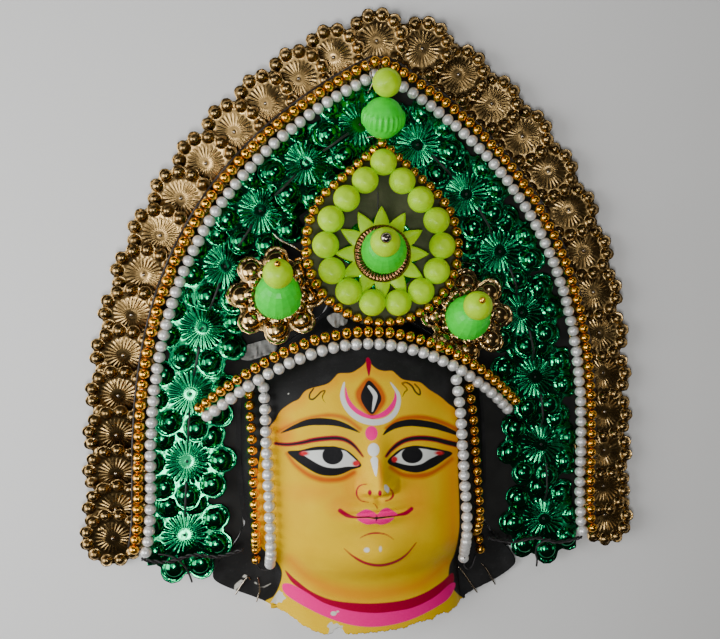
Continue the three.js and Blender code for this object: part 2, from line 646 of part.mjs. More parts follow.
// Drop-shaped medallion: card, gilt edge, a ring of balls, a foil flower, a star, a washer and a bead
function medallion() {
  const base = new THREE.Group();
  base.position.set(MEDAL_X, MEDAL_Y, MEDAL_Z);
  base.rotation.x = radians(-MEDAL_TILT);
  group.add(base);
  const onCard = CARD_THICKNESS + GAP;
  const edge = MEDAL_RADIUS + GILT_RADIUS * 0.6;
  const card = disc(dropPoints(edge, MEDAL_TIP + GILT_RADIUS, MEDAL_KNOTS), CARD_THICKNESS);
  piece('medallion_card', card, CARD, base);
  const lift = (points, z) => points.map((p) => new THREE.Vector3(p.x, p.y, z));
  const rim = lift(dropPoints(MEDAL_RADIUS, MEDAL_TIP, MEDAL_KNOTS), onCard + GILT_RADIUS);
  const last = rim[rim.length - 1];
  const spare = (2 * GILT_RADIUS + GAP) / last.distanceTo(rim[0]);
  rim.push(last.clone().lerp(rim[0], 1 - spare));
  piece('medallion_gilt_beads', strand(rim, GILT_RADIUS, STRAND_SIDES, MEDAL_KNOTS + 4), GILT, base);
  const ring = dropPoints(BALL_RING_RADIUS, BALL_RING_TIP, BALL_COUNT);
  const thread = lift(ring, onCard + BALL_RADIUS);
  thread.push(thread[0].clone().add(new THREE.Vector3(-PIN_RADIUS, 0, 0)));
  let balls = toSolid(strand(thread, THREAD_RADIUS, THIN_SIDES, BALL_COUNT));
  ring.forEach((p) => {
    const one = new THREE.SphereGeometry(BALL_RADIUS, 6, 4).rotateX(Math.PI / 2);
    balls = balls.add(toSolid(one.translate(p.x, p.y, onCard + BALL_RADIUS)));
  });
  piece('medallion_balls', toGeometry(balls), LIME, base);
  const middle = new THREE.Group();
  middle.position.set(STAR_SHIFT, -STAR_DROP, onCard);
  base.add(middle);
  const flowerRadius = BALL_RING_RADIUS - Math.hypot(STAR_DROP, STAR_SHIFT) - BALL_RADIUS * 0.8 - GAP;
  piece('medallion_flower', domedFlower(8, flowerRadius, SMALL_DEPTH), GREEN_FOIL, middle);
  const star = [];
  for (let k = 0; k < 2 * STAR_POINTS; k += 1) {
    const reach = k % 2 ? STAR_INNER : STAR_RADIUS;
    const angle = (k / STAR_POINTS) * Math.PI;
    star.push(new THREE.Vector2(reach * Math.sin(angle), reach * Math.cos(angle)));
  }
  const starZ = SMALL_DEPTH + GAP;
  piece('medallion_star', disc(star, STAR_THICKNESS).translate(0, 0, starZ), LIME, middle);
  const washer = new THREE.Shape().absarc(0, 0, WASHER_RADIUS, 0, 2 * Math.PI);
  washer.holes.push(new THREE.Path().absarc(0, 0, WASHER_HOLE, 0, 2 * Math.PI));
  const washerZ = starZ + STAR_THICKNESS + GAP;
  const flat = { depth: WASHER_THICKNESS, bevelEnabled: false, curveSegments: 8 };
  const ringShape = new THREE.ExtrudeGeometry(washer, flat);
  piece('medallion_washer', ringShape.translate(0, 0, washerZ), GILT, middle);
  const beadZ = washerZ + WASHER_THICKNESS + GAP;
  const names = { bead: 'medallion_bead', ball: 'medallion_top_ball' };
  const [stand, ballZ] = leaningBead((kind) => names[kind], middle, beadZ, MEDAL_BEAD);
  piece('medallion_pin', ball(PIN_RADIUS, ballZ + TOP_BALL_RADIUS + GAP + PIN_RADIUS), STEEL, stand);
}

// Two rosettes beside the medallion: a large and a small gold flower, a faceted bead and a ball
function rosettes() {
  Object.entries(ROSETTES).forEach(([name, rosette]) => {
    const base = new THREE.Group();
    base.position.set(...rosette.at, ROSETTE_Z);
    base.rotation.x = radians(-ROSETTE_TILT);
    group.add(base);
    piece(`rosette_flower_${name}`, domedFlower(8, GREEN_RADIUS - 1, GREEN_DEPTH), GOLD_FOIL, base);
    const smallZ = GREEN_DEPTH + GAP;
    const small = scallopedFlower(12, SMALL_RADIUS, SMALL_DEPTH).translate(0, 0, smallZ);
    piece(`rosette_small_flower_${name}`, small, GOLD_FOIL, base);
    const beadZ = smallZ + SMALL_DEPTH + GAP;
    leaningBead((kind) => `rosette_${kind}_${name}`, base, beadZ, rosette);
  });
}

// A faceted bead and a ball on a wire, standing up the crown above the medallion's tip
function finial() {
  const base = new THREE.Group();
  base.position.set(FINIAL_X, FINIAL_Y, GREEN_TOP + FINIAL_RADIUS + GAP);
  base.rotation.x = radians(FINIAL_LEAN);
  group.add(base);
  const lower = new THREE.SphereGeometry(FINIAL_RADIUS, 10, 5);
  piece('finial_bead', lower, GREEN_PLASTIC, base);
  const upper = new THREE.SphereGeometry(TOP_BALL_RADIUS, 7, 4);
  piece('finial_ball', upper.translate(0, FINIAL_RADIUS + TOP_BALL_RADIUS + GAP, 0), LIME, base);
}

// Black wires that tie the crown's feet back to the sides of the face
function tieWires() {
  Object.entries(TIE_ENDS).forEach(([name, [outer, inner]]) => {
    const height = GREEN_TOP + TIE_RADIUS + GAP;
    const points = TIE_SAG.map((dip, i) => new THREE.Vector3(
      THREE.MathUtils.lerp(outer, inner, i / (TIE_SAG.length - 1)), BOARD_FOOT_Y + dip, height));
    piece(`tie_wire_${name}`, strand(points, TIE_RADIUS, STRAND_SIDES, TIE_SAG.length + 1), BLACK_WIRE);
  });
}

const face = piece('face_mask', faceMask(), FACE);
face.position.set(FACE_X, FACE_Y, 0);
face.rotation.z = turn;
piece('crown_board', crownBoard(), CARD);
greenFlowers();
rimFlowers();
rimStrands();
browStrands();
sideStrings();
medallion();
rosettes();
finial();
tieWires();

// Moves the origin to the middle of the footprint, on the surface that the mask lies on
group.updateMatrixWorld(true);
const box = new THREE.Box3().setFromObject(group, true);
const middle = box.getCenter(new THREE.Vector3());
group.position.set(-middle.x, -middle.y, -box.min.z);

export default group;
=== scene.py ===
"""A dancer's mask, dressed: a painted papier-mache face under a crown of foil flowers, pearls and beads.

Lengths are millimetres in the mask's own drawing frame: x runs from the crown's middle line, y up to the
crown's tip with the arch's feet at -160, and z up from the surface that the mask lies on. A few places,
such as the brush strokes, are given in pixels of the 720 x 639 photograph and cast onto the surface.
"""

from __future__ import annotations

import logging
import math
from dataclasses import dataclass, field
from enum import Enum
from typing import Callable, Sequence

import bmesh
import bpy
import numpy as np
from mathutils import Matrix, Vector

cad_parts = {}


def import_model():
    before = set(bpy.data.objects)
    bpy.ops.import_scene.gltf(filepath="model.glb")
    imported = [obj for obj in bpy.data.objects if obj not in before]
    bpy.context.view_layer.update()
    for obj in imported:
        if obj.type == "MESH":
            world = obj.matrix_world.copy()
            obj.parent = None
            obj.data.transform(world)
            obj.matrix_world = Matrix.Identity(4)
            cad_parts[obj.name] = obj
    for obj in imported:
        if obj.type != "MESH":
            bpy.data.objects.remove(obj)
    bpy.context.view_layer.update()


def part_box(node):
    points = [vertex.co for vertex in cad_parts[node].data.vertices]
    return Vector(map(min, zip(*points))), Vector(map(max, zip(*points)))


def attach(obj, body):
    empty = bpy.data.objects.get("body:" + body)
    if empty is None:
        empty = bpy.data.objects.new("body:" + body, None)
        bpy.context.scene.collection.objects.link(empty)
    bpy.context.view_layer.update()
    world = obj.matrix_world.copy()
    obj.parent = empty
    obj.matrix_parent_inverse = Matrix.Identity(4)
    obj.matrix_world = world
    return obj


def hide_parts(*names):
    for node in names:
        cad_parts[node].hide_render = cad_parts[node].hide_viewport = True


LOG = logging.getLogger("mask")
MM = 0.001
TURN = 2 * math.pi
GAP = 0.35
BODY = "root"
Array = np.ndarray
Material = bpy.types.Material
Pair = tuple[float, float]
Triple = tuple[float, float, float]
Places = Sequence[Pair]


class Slot(Enum):
    """The material slots."""

    FACE = "painted_face"
    CARD = "crown_card"
    GREEN_FOIL = "green_foil"
    GOLD_FOIL = "gold_foil"
    PEARL = "pearl"
    GILT = "gilt_bead"
    LIME = "lime_plastic"
    GREEN = "green_plastic"
    WIRE = "black_wire"
    PIN = "pin_metal"


Finishes = dict[Slot, Material]


def smooth(value: Array, low: float, high: float) -> Array:
    """Eases each number from 0 at low to 1 at high: 3t^2 - 2t^3 of its share t of the way."""
    t = np.clip((value - low) / (high - low), 0, 1)
    return t * t * (3 - 2 * t)


def through(knots: Places) -> Callable[[Array], Array]:
    """A smooth curve through knots, with slopes taken across neighbouring knots.

    Args:
        knots: Pairs of place and value, places rising.

    Returns:
        The curve as a function of whole arrays.
    """
    x, y = np.array(knots, float).T
    before = np.maximum(np.arange(len(x)) - 1, 0)
    after = np.minimum(np.arange(len(x)) + 1, len(x) - 1)
    slope = (y[after] - y[before]) / (x[after] - x[before])

    def curve(place: Array) -> Array:
        """The Hermite blend of the two knots around each place.

        Args:
            place: Places along the curve.

        Returns:
            The curve's value at each.
        """
        at = np.clip(place, x[0], x[-1])
        i = np.clip(np.searchsorted(x, at, side="right") - 1, 0, len(x) - 2)
        span = x[i + 1] - x[i]
        t = (at - x[i]) / span
        bend = (1 - t) * slope[i] - t * slope[i + 1]
        return y[i] + (y[i + 1] - y[i]) * t * t * (3 - 2 * t) + span * t * (1 - t) * bend

    return curve


def turned(axis: str, angle: float) -> Array:
    """The 3 x 3 turn about one axis.

    Args:
        axis: x, y or z.
        angle: Turn in radians.

    Returns:
        The matrix that turns column vectors.
    """
    c, s = math.cos(angle), math.sin(angle)
    i, j = {"x": (1, 2), "y": (2, 0), "z": (0, 1)}[axis]
    turn = np.eye(3)
    turn[[i, j], [i, j]] = c
    turn[i, j], turn[j, i] = -s, s
    return turn


@dataclass(frozen=True)
class Seat:
    """A turned and moved place that a piece sits in."""

    middle: Array
    turn: Array = field(default_factory=lambda: np.eye(3))

    def carry(self, points: Array) -> Array:
        """Points from the seat's own axes to the drawing frame."""
        return points @ self.turn.T + self.middle

    def inner(self, middle: Sequence[float], turn: Array | None = None) -> Seat:
        """A seat that stands in this one, its middle and its own turn given on this one's axes."""
        own = np.eye(3) if turn is None else turn
        return Seat(self.carry(np.array(middle, float)), self.turn @ own)


@dataclass(frozen=True)
class Drawing:
    """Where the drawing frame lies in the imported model."""

    shift: Array
    board_foot: float = -166.0

    @classmethod
    def from_board(cls) -> Drawing:
        """Reads the shift off the crown's board: its middle is x = 0, its foot a known height."""
        low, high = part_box("crown_board")
        middle = (low.x + high.x) / 2 / MM
        return cls(np.array([middle, low.y / MM - cls.board_foot, 0.0]))

    def to_model(self, points: Array) -> Array:
        """Drawing millimetres to model metres."""
        return (points + self.shift) * MM


@dataclass(frozen=True)
class PhotoCamera:
    """The camera that took the photograph, in the drawing frame."""

    distance: float = 650.0
    yaw: float = 10.0
    pitch: float = 6.3
    roll: float = -0.8
    focal: float = 928.57
    offset: Pair = (10.9, -10.8)
    size: Pair = (720.0, 639.0)
    sensor: float = 36.0

    @property
    def axes(self) -> Array:
        """Rows: the camera's right, up and back axes."""
        turns = [turned("z", math.radians(self.roll)), turned("x", math.radians(self.pitch))]
        return turns[0] @ turns[1] @ turned("y", math.radians(self.yaw))

    @property
    def centre(self) -> Array:
        """The picture's middle, with the camera's offset."""
        return np.array([self.size[0] / 2 + self.offset[0], self.size[1] / 2 + self.offset[1]])

    def pixels(self, points: Array) -> Array:
        """Where points show in the photograph.

        Args:
            points: Drawing-frame points, one a row.

        Returns:
            Pixel x and y, one pair a row.
        """
        seen = points @ self.axes.T
        depth = self.distance - seen[:, 2]
        flat = np.stack([seen[:, 0], -seen[:, 1]], axis=1)
        return self.centre + self.focal * flat / depth[:, None]

    def cast(self, places: Places, height: float) -> Array:
        """Pixels cast onto a level plane.

        Args:
            places: Pixel pairs.
            height: The plane's height.

        Returns:
            Drawing-frame points on the plane.
        """
        flat = (np.array(places, float) - self.centre) / self.focal
        rays = np.column_stack([flat[:, 0], -flat[:, 1], -np.ones(len(flat))]) @ self.axes
        start = self.axes.T @ np.array([0, 0, self.distance])
        reach = (height - start[2]) / rays[:, 2]
        return start + rays * reach[:, None]

    def make(self, drawing: Drawing) -> None:
        """Sets the scene's camera up with this view."""
        data = bpy.data.cameras.new("camera")
        data.sensor_width = self.sensor
        data.lens = self.focal * self.sensor / self.size[0]
        data.shift_x = -self.offset[0] / self.size[0]
        data.shift_y = self.offset[1] / self.size[0]
        data.clip_start, data.clip_end = 0.01, 20.0
        camera = bpy.data.objects.new("camera", data)
        bpy.context.scene.collection.objects.link(camera)
        spot = drawing.to_model(self.axes.T @ np.array([0, 0, self.distance]))
        camera.matrix_world = Matrix.Translation(spot.tolist()) @ Matrix(self.axes.T.tolist()).to_4x4()
        bpy.context.scene.camera = camera


@dataclass(frozen=True)
class Bench:
    """Where the mask is put together: the drawing's place in the model, and the finishes by slot."""

    drawing: Drawing
    finish: Finishes


class Piece:
    """Gathers the parts of one finished piece and makes its object."""

    def __init__(self, name: str) -> None:
        """Starts an empty piece with its object's name."""
        self.name = name
        self.points: list[Array] = []
        self.faces: list[Array] = []
        self.marks: dict[str, list[Array]] = {}
        self.count = 0

    def add(self, points: Array, *faces: Array, **marks: Array) -> None:
        """Adds one part.

        Args:
            points: Drawing-frame points.
            faces: Arrays of triangles or quads that index the points.
            marks: Named numbers, one a point, for the material.
        """
        self.points.append(points)
        self.faces.extend(part + self.count for part in faces)
        for name, values in marks.items():
            self.marks.setdefault(name, []).append(np.broadcast_to(values, len(points)))
        self.count += len(points)

    def finish(
        self, bench: Bench, slot: Slot, *nodes: str, material: Material | None = None,
        flat: bool = False, cut: bool = False,
    ) -> bpy.types.Object:
        """Makes the object, and hides the CAD nodes that it stands for.

        Args:
            bench: Where the mask is put together.
            slot: The slot whose finish it takes, unless material is given.
            nodes: The CAD nodes that it replaces.
            material: A finish of its own, in place of the slot's.
            flat: Whether its facets stay flat.
            cut: Whether a cut left open edges, which are then filled.

        Returns:
            The finished object.
        """
        mesh = bpy.data.meshes.new(self.name)
        points = bench.drawing.to_model(np.concatenate(self.points))
        mesh.vertices.add(len(points))
        mesh.vertices.foreach_set("co", points.astype(np.float32).ravel())
        corners = np.concatenate([part.ravel() for part in self.faces])
        sizes = np.concatenate([np.full(len(part), part.shape[1]) for part in self.faces])
        mesh.loops.add(len(corners))
        mesh.loops.foreach_set("vertex_index", corners.astype(np.int32))
        mesh.polygons.add(len(sizes))
        starts = np.concatenate([[0], np.cumsum(sizes)[:-1]])
        mesh.polygons.foreach_set("loop_start", starts.astype(np.int32))
        mesh.polygons.foreach_set("use_smooth", np.full(len(sizes), not flat))
        for name, values in self.marks.items():
            mark = mesh.attributes.new(name, "FLOAT", "POINT")
            mark.data.foreach_set("value", np.concatenate(values).astype(np.float32))
        mesh.update(calc_edges=True)
        mesh.validate()
        if cut:
            work = bmesh.new()
            work.from_mesh(mesh)
            bmesh.ops.holes_fill(work, edges=work.edges[:], sides=0)
            work.to_mesh(mesh)
            work.free()
        mesh.materials.append(material or bench.finish[slot])
        made = bpy.data.objects.new(self.name, mesh)
        bpy.context.scene.collection.objects.link(made)
        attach(made, BODY)
        if nodes:
            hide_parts(*nodes)
        LOG.info("%s: %d points, %d faces", self.name, len(points), len(sizes))
        return made


def net(rows: int, columns: int, closed: bool = False, flip: bool = False) -> Array:
    """Quads over a grid of points kept row by row.

    Args:
        rows: Number of rows.
        columns: Points in a row.
        closed: Whether the last column joins the first.
        flip: Whether the faces point the other way.

    Returns:
        Four indices a quad.
    """
    i = np.arange(rows - 1)[:, None] * columns
    j = np.arange(columns if closed else columns - 1)[None, :]
    k = (j + 1) % columns
    quads = np.stack([i + j, i + k, i + columns + k, i + columns + j], axis=-1).reshape(-1, 4)
    return quads[:, ::-1] if flip else quads


def fan(middle: int, ring: Array) -> Array:
    """Triangles from a middle point to a closed ring of points."""
    return np.stack([np.full(len(ring), middle), ring, np.roll(ring, -1)], axis=1)


def lathe(profile: Array, columns: int) -> tuple[Array, Array, Array]:
    """A profile turned about the z axis, closed at both ends on the axis.

    Args:
        profile: Radius and height of each ring, from the top down, ends off the axis.
        columns: Points around.

    Returns:
        Points, quads between the rings, and the end caps' triangles.
    """
    angle = np.arange(columns) / columns * TURN
    radius, height = profile.T
    level = np.repeat(height, columns).reshape(-1, columns)
    rings = np.stack([np.outer(radius, np.cos(angle)), np.outer(radius, np.sin(angle)), level], axis=-1).reshape(-1, 3)
    last = len(rings)
    points = np.concatenate([rings, [[0, 0, height[0]], [0, 0, height[-1]]]])
    top = fan(last, np.arange(columns))
    foot = fan(last + 1, np.arange(last - columns, last))[:, ::-1]
    return points, net(len(profile), columns, closed=True, flip=True), np.concatenate([top, foot])


def tube(path: Array, radius: Array | float, sides: int) -> tuple[Array, Array, Array]:
    """A round tube along a path, closed at both ends.

    Each ring stands square to the path, with axes carried along so that it doesn't twist.

    Args:
        path: Points along the middle.
        radius: Its radius, or one a point.
        sides: Points around.

    Returns:
        Points, quads and the end caps' triangles.
    """
    ahead = np.gradient(path, axis=0)
    ahead /= np.linalg.norm(ahead, axis=1)[:, None]
    side = np.cross(ahead, [0.0, 0.0, 1.0])
    side[np.linalg.norm(side, axis=1) < 1e-6] = [1.0, 0.0, 0.0]
    side /= np.linalg.norm(side, axis=1)[:, None]
    up = np.cross(side, ahead)
    angle = np.arange(sides) / sides * TURN
    reach = np.broadcast_to(radius, len(path))[:, None, None]
    around = np.cos(angle)[None, :, None] * side[:, None] + np.sin(angle)[None, :, None] * up[:, None]
    points = (path[:, None] + reach * around).reshape(-1, 3)
    last = len(points)
    points = np.concatenate([points, path[[0, -1]]])
    caps = np.concatenate([
        fan(last, np.arange(sides)), fan(last + 1, np.arange(last - sides, last))[:, ::-1]
    ])
    return points, net(len(path), sides, closed=True, flip=True), caps


def spline(places: Places | Array, per_span: int = 10, closed: bool = False) -> Array:
    """A smooth line through places, by Catmull and Rom's cubic.

    Args:
        places: The places, in two or three dimensions.
        per_span: Points for each stretch between two places.
        closed: Whether it comes back to its start.

    Returns:
        Points along the line.
    """
    p = np.array(places, float)
    padded = np.concatenate([p[-1:], p, p[:2]]) if closed else np.concatenate([p[:1], p, p[-1:]])
    t = (np.arange(per_span) / per_span)[None, :, None]
    a, b, c, d = (padded[k:len(padded) - 3 + k, None] for k in range(4))
    line = 0.5 * (2 * b + (c - a) * t + (2 * a - 5 * b + 4 * c - d) * t**2 + (3 * b - a - 3 * c + d) * t**3)
    line = line.reshape(-1, p.shape[1])
    return line if closed else np.concatenate([line, p[-1:]])


def spaced(line: Array, pitch: float, closed: bool = False) -> tuple[Array, Array]:
    """Places at an even pitch along a line, and the way ahead at each.

    Args:
        line: Points along the line.
        pitch: Rough distance; the last place lands on the line's end.
        closed: Whether the end meets the start, so that it takes no place.

    Returns:
        The places and their unit tangents.
    """
    step = np.linalg.norm(np.diff(line, axis=0), axis=1)
    run = np.concatenate([[0], np.cumsum(step)])
    count = max(int(round(run[-1] / pitch)), 1)
    at = np.linspace(0, run[-1], count + 1)[: count if closed else count + 1]
    places = np.stack([np.interp(at, run, axis) for axis in line.T], axis=1)
    near = [np.stack([np.interp(at + shift, run, axis) for axis in line.T], axis=1) for shift in (-1.0, 1.0)]
    ahead = near[1] - near[0]
    return places, ahead / np.linalg.norm(ahead, axis=1)[:, None]


class Signal:
    """A node socket in a material that can be added, multiplied and so on."""

    def __init__(self, recipe: Recipe, socket: bpy.types.NodeSocket) -> None:
        """Keeps the recipe that owns the socket."""
        self.recipe = recipe
        self.socket = socket

    def _math(self, operation: str, *values: Signal | float) -> Signal:
        """Adds one Math node."""
        return self.recipe.node("ShaderNodeMath", {"operation": operation}, dict(enumerate(values)))

    def __add__(self, other: Signal | float) -> Signal:
        """The sum."""
        return self._math("ADD", self, other)

    def __sub__(self, other: Signal | float) -> Signal:
        """The difference."""
        return self._math("SUBTRACT", self, other)

    def __rsub__(self, other: float) -> Signal:
        """The difference from a number."""
        return self._math("SUBTRACT", other, self)

    def __mul__(self, other: Signal | float) -> Signal:
        """The product."""
        return self._math("MULTIPLY", self, other)

    __radd__ = __add__
    __rmul__ = __mul__

    def step(self, low: float, high: float) -> Signal:
        """Runs from 0 at low to 1 at high, held beyond them."""
        settings = {"clamp": True}
        return self.recipe.node("ShaderNodeMapRange", settings, {0: self, 1: low, 2: high, 3: 0.0, 4: 1.0})


class Recipe:
    """One material and its nodes."""

    def __init__(self, name: str) -> None:
        """Starts a material with its shader and nothing linked."""
        self.material = bpy.data.materials.new(name)
        self.material.use_nodes = True
        self.tree = self.material.node_tree
        self.shader = self.tree.nodes["Principled BSDF"]
        self.place = self.node("ShaderNodeTexCoord", output="Object")

    def node(
        self, kind: str, settings: dict | None = None, inputs: dict | None = None, output: int | str = 0
    ) -> Signal:
        """Adds any node.

        Args:
            kind: Blender's name of the node type.
            settings: Its own settings, set first; stops are a ramp's places and colours.
            inputs: Values or signals by socket.
            output: The socket to go on with.

        Returns:
            That socket as a signal.
        """
        made = self.tree.nodes.new(kind)
        for name, value in (settings or {}).items():
            if name != "stops":
                setattr(made, name, value)
                continue
            while len(made.color_ramp.elements) < len(value):
                made.color_ramp.elements.new(1.0)
            for element, (place, colour) in zip(made.color_ramp.elements, value):
                element.position = place
                element.color = (*colour, 1.0)
        for socket, value in (inputs or {}).items():
            if isinstance(value, Signal):
                self.tree.links.new(value.socket, made.inputs[socket])
            else:
                made.inputs[socket].default_value = value
        return Signal(self, made.outputs[output])

    def noise(self, size: float, detail: float = 3.0, rough: float = 0.55) -> Signal:
        """Cloudy noise whose lumps are about size millimetres across, from 0 to 1."""
        inputs = {"Vector": self.place, "Scale": 1 / (size * MM), "Detail": detail, "Roughness": rough}
        return self.node("ShaderNodeTexNoise", None, inputs)

    def mark(self, name: str) -> Signal:
        """A number kept on the mesh."""
        return self.node("ShaderNodeAttribute", {"attribute_name": name}, output="Fac")

    def mix(self, share: Signal | float, first: Signal | Sequence, second: Signal | Sequence) -> Signal:
        """Blends two colours by a share of the second."""
        colours = [c if isinstance(c, Signal) else (*c, 1.0) for c in (first, second)]
        settings = {"data_type": "RGBA", "clamp_factor": True}
        return self.node("ShaderNodeMix", settings, {0: share, 6: colours[0], 7: colours[1]}, 2)

    def bump(self, height: Signal, depth: float) -> Signal:
        """Roughens the surface by a height signal, depth in millimetres."""
        return self.node("ShaderNodeBump", None, {"Height": height, "Distance": depth * MM, "Strength": 1.0}, 0)

    def set(self, **values: Signal | float | Sequence) -> Material:
        """Links or sets the shader's sockets, an underscore standing for a space.

        Args:
            values: Signals or plain values by socket name.

        Returns:
            The finished material.
        """
        for name, value in values.items():
            socket = self.shader.inputs[name.replace("_", " ")]
            if isinstance(value, Signal):
                self.tree.links.new(value.socket, socket)
            elif socket.type == "RGBA":
                socket.default_value = (*value, 1.0)
            else:
                socket.default_value = value
        return self.material


@dataclass(frozen=True)
class FoilFinish:
    """Stamped metallised foil, bright, slightly crumpled and tarnished."""

    name: str
    bright: Triple
    tarnish: Triple
    roughness: float = 0.12
    dents: float = 0.16

    def make(self) -> Material:
        """A metal whose colour and gloss drift, with fine dents."""
        r = Recipe(self.name)
        cloud = r.noise(11.0, 4.0)
        colour = r.mix(cloud.step(0.42, 0.72), self.bright, self.tarnish)
        specks = r.noise(1.1, 2.0).step(0.7, 0.75)
        colour = r.mix(specks * 0.5, colour, (0.02, 0.02, 0.015))
        gloss = self.roughness + 0.14 * cloud.step(0.5, 0.8) + specks * 0.3
        dents = r.noise(6.0, 2.0) + r.noise(1.2, 2.0) * 0.06
        return r.set(Base_Color=colour, Metallic=1.0, Roughness=gloss, Normal=r.bump(dents, self.dents))


@dataclass(frozen=True)
class BeadFinish:
    """Lacquered or plated beads."""

    name: str
    bright: Triple
    worn: Triple
    metallic: float
    roughness: float
    coat: float = 0.0

    def make(self) -> Material:
        """Plating or lacquer that is thinner in patches, with a faint orange peel."""
        r = Recipe(self.name)
        patch = r.noise(3.2, 3.0)
        colour = r.mix(patch.step(0.5, 0.75), self.bright, self.worn)
        gloss = self.roughness + 0.18 * patch.step(0.45, 0.8)
        return r.set(
            Base_Color=colour,
            Metallic=self.metallic,
            Roughness=gloss,
            Coat_Weight=self.coat,
            Coat_Roughness=0.12,
            Normal=r.bump(r.noise(0.8, 2.0), 0.05),
        )


@dataclass(frozen=True)
class PlasticFinish:
    """Moulded plastic, with a faint painted glow of its own colour in place of light through its surface."""

    name: str
    colour: Triple
    deep: Triple
    roughness: float = 0.3
    glow: float = 0.12

    def make(self) -> Material:
        """A satin plastic with soft mottling, faint mould texture and a faint painted glow."""
        r = Recipe(self.name)
        mottle = r.noise(6.0, 3.0)
        fine = r.noise(0.7, 2.0)
        colour = r.mix(mottle.step(0.35, 0.7), self.colour, self.deep)
        return r.set(
            Base_Color=colour,
            Roughness=self.roughness + 0.15 * fine.step(0.4, 0.7),
            Specular_IOR_Level=0.32,
            # Painted glow: the plastic lights itself faintly in its own colour.
            Emission_Color=self.colour,
            Emission_Strength=self.glow,
            Normal=r.bump(fine, 0.05),
        )


@dataclass(frozen=True)
class CardFinish:
    """Plain card or paper with fibres and scuffs."""

    name: str
    colour: Triple
    scuff: Triple

    def make(self) -> Material:
        """Matt card: cloudy tone, fine specks and a fibrous bump."""
        r = Recipe(self.name)
        cloud = r.noise(12.0, 4.0)
        fibre = r.noise(0.6, 4.0)
        colour = r.mix(cloud.step(0.4, 0.75) * 0.6 + fibre.step(0.55, 0.72) * 0.4, self.colour, self.scuff)
        return r.set(Base_Color=colour, Roughness=0.85, Normal=r.bump(fibre, 0.12))


@dataclass(frozen=True)
class WireFinish:
    """Lacquered or bare wire."""

    name: str
    colour: Triple
    metallic: float
    roughness: float

    def make(self) -> Material:
        """Wire with worn patches where the lacquer has rubbed."""
        r = Recipe(self.name)
        worn = r.noise(2.2, 3.0).step(0.55, 0.7)
        bare = tuple(min(1.0, c * 1.8 + 0.03) for c in self.colour)
        colour = r.mix(worn * 0.6, self.colour, bare)
        gloss = self.roughness + 0.15 * worn
        return r.set(Base_Color=colour, Metallic=self.metallic, Roughness=gloss, Normal=r.bump(worn, 0.05))


class Paint(Enum):
    """Layers of paint on the face, from the lowest up, each with its colour; the two soft layers also carry painted
    shade.
    """

    # The painter's orange airbrush, with painted shade on the face's darker right side.
    BLUSH = (0.80, 0.27, 0.004)
    # Orange-brown halos round the third eye, brows and eyes, with painted shade down the nose's right side.
    HALO = (0.55, 0.11, 0.008)
    PRIMER = (0.62, 0.61, 0.55)
    CRIMSON = (0.36, 0.0, 0.03)
    ROSE = (0.95, 0.0, 0.24)
    BLACK = (0.012, 0.012, 0.013)
    WHITE = (0.72, 0.74, 0.70)
    EYE_RED = (0.62, 0.02, 0.03)
    IRIS = (0.011, 0.011, 0.012)

    @property
    def mark(self) -> str:
        """The mesh attribute that says where this layer is."""
        return "paint_" + self.name.lower()


@dataclass(frozen=True)
class FaceFinish:
    """Poster paint on papier-mache: yellow skin, black hair and the painter's brushwork, with some painted shade in its
    soft layers.
    """

    name: str = "painted papier-mache"
    yellow: Triple = (0.82, 0.52, 0.0)
    ochre: Triple = (0.70, 0.38, 0.0)
    hair: Triple = (0.018, 0.018, 0.018)
    hair_dust: Triple = (0.045, 0.045, 0.046)
    paper: Triple = (0.42, 0.38, 0.31)
    clay: Triple = (0.55, 0.52, 0.46)

    def make(self) -> Material:
        """Layers each paint over the last where the mesh's marks say, with brush grain and scuffs."""
        r = Recipe(self.name)
        cloud = r.noise(22.0, 3.0)
        grain = r.noise(1.4, 4.0)
        colour = r.mix(cloud.step(0.42, 0.75) * 0.5, self.yellow, self.ochre)
        # The soft layers: orange airbrush and halos, with painted shade on the face's right and beside the nose.
        for layer in (Paint.BLUSH, Paint.HALO):
            colour = r.mix(r.mark(layer.mark).step(0.0, 1.0), colour, layer.value)
        skin = r.mark("skin_area").step(-0.5, 0.5)
        dust = r.mix(cloud.step(0.5, 0.7) * 0.4 + grain.step(0.6, 0.72) * 0.4, self.hair, self.hair_dust)
        colour = r.mix(skin, dust, colour)
        for layer in (Paint.CRIMSON, Paint.ROSE, Paint.BLACK, Paint.WHITE, Paint.EYE_RED, Paint.IRIS, Paint.PRIMER):
            colour = r.mix(r.mark(layer.mark).step(-0.5, 0.5), colour, layer.value)
        bare = r.mark("bare").step(0.4, 0.6)
        pulp = r.mix(grain.step(0.35, 0.7), self.paper, self.clay)
        colour = r.mix(bare, colour, pulp)
        gloss = 0.4 + 0.2 * grain.step(0.4, 0.7) + bare * 0.35
        relief = grain + r.noise(7.0, 2.0) * 1.5 + bare * r.noise(3.0, 5.0) * 4.0
        return r.set(Base_Color=colour, Roughness=gloss, Specular_IOR_Level=0.06, Normal=r.bump(relief, 0.10))


@dataclass(frozen=True)
class Stroke:
    """A brush stroke along a smooth line of pixels, with widths spread evenly along it."""

    places: Places
    widths: Sequence[float]
    soft: float = 0.9
    strength: float = 1.0


@dataclass(frozen=True)
class Patch:
    """A filled shape with a smooth outline of pixels."""

    places: Places
    soft: float = 0.9
    strength: float = 1.0


@dataclass(frozen=True)
class Dot:
    """A filled ellipse, its middle and half-sizes in pixels."""

    middle: Pair
    half: Pair
    soft: float = 0.9
    strength: float = 1.0


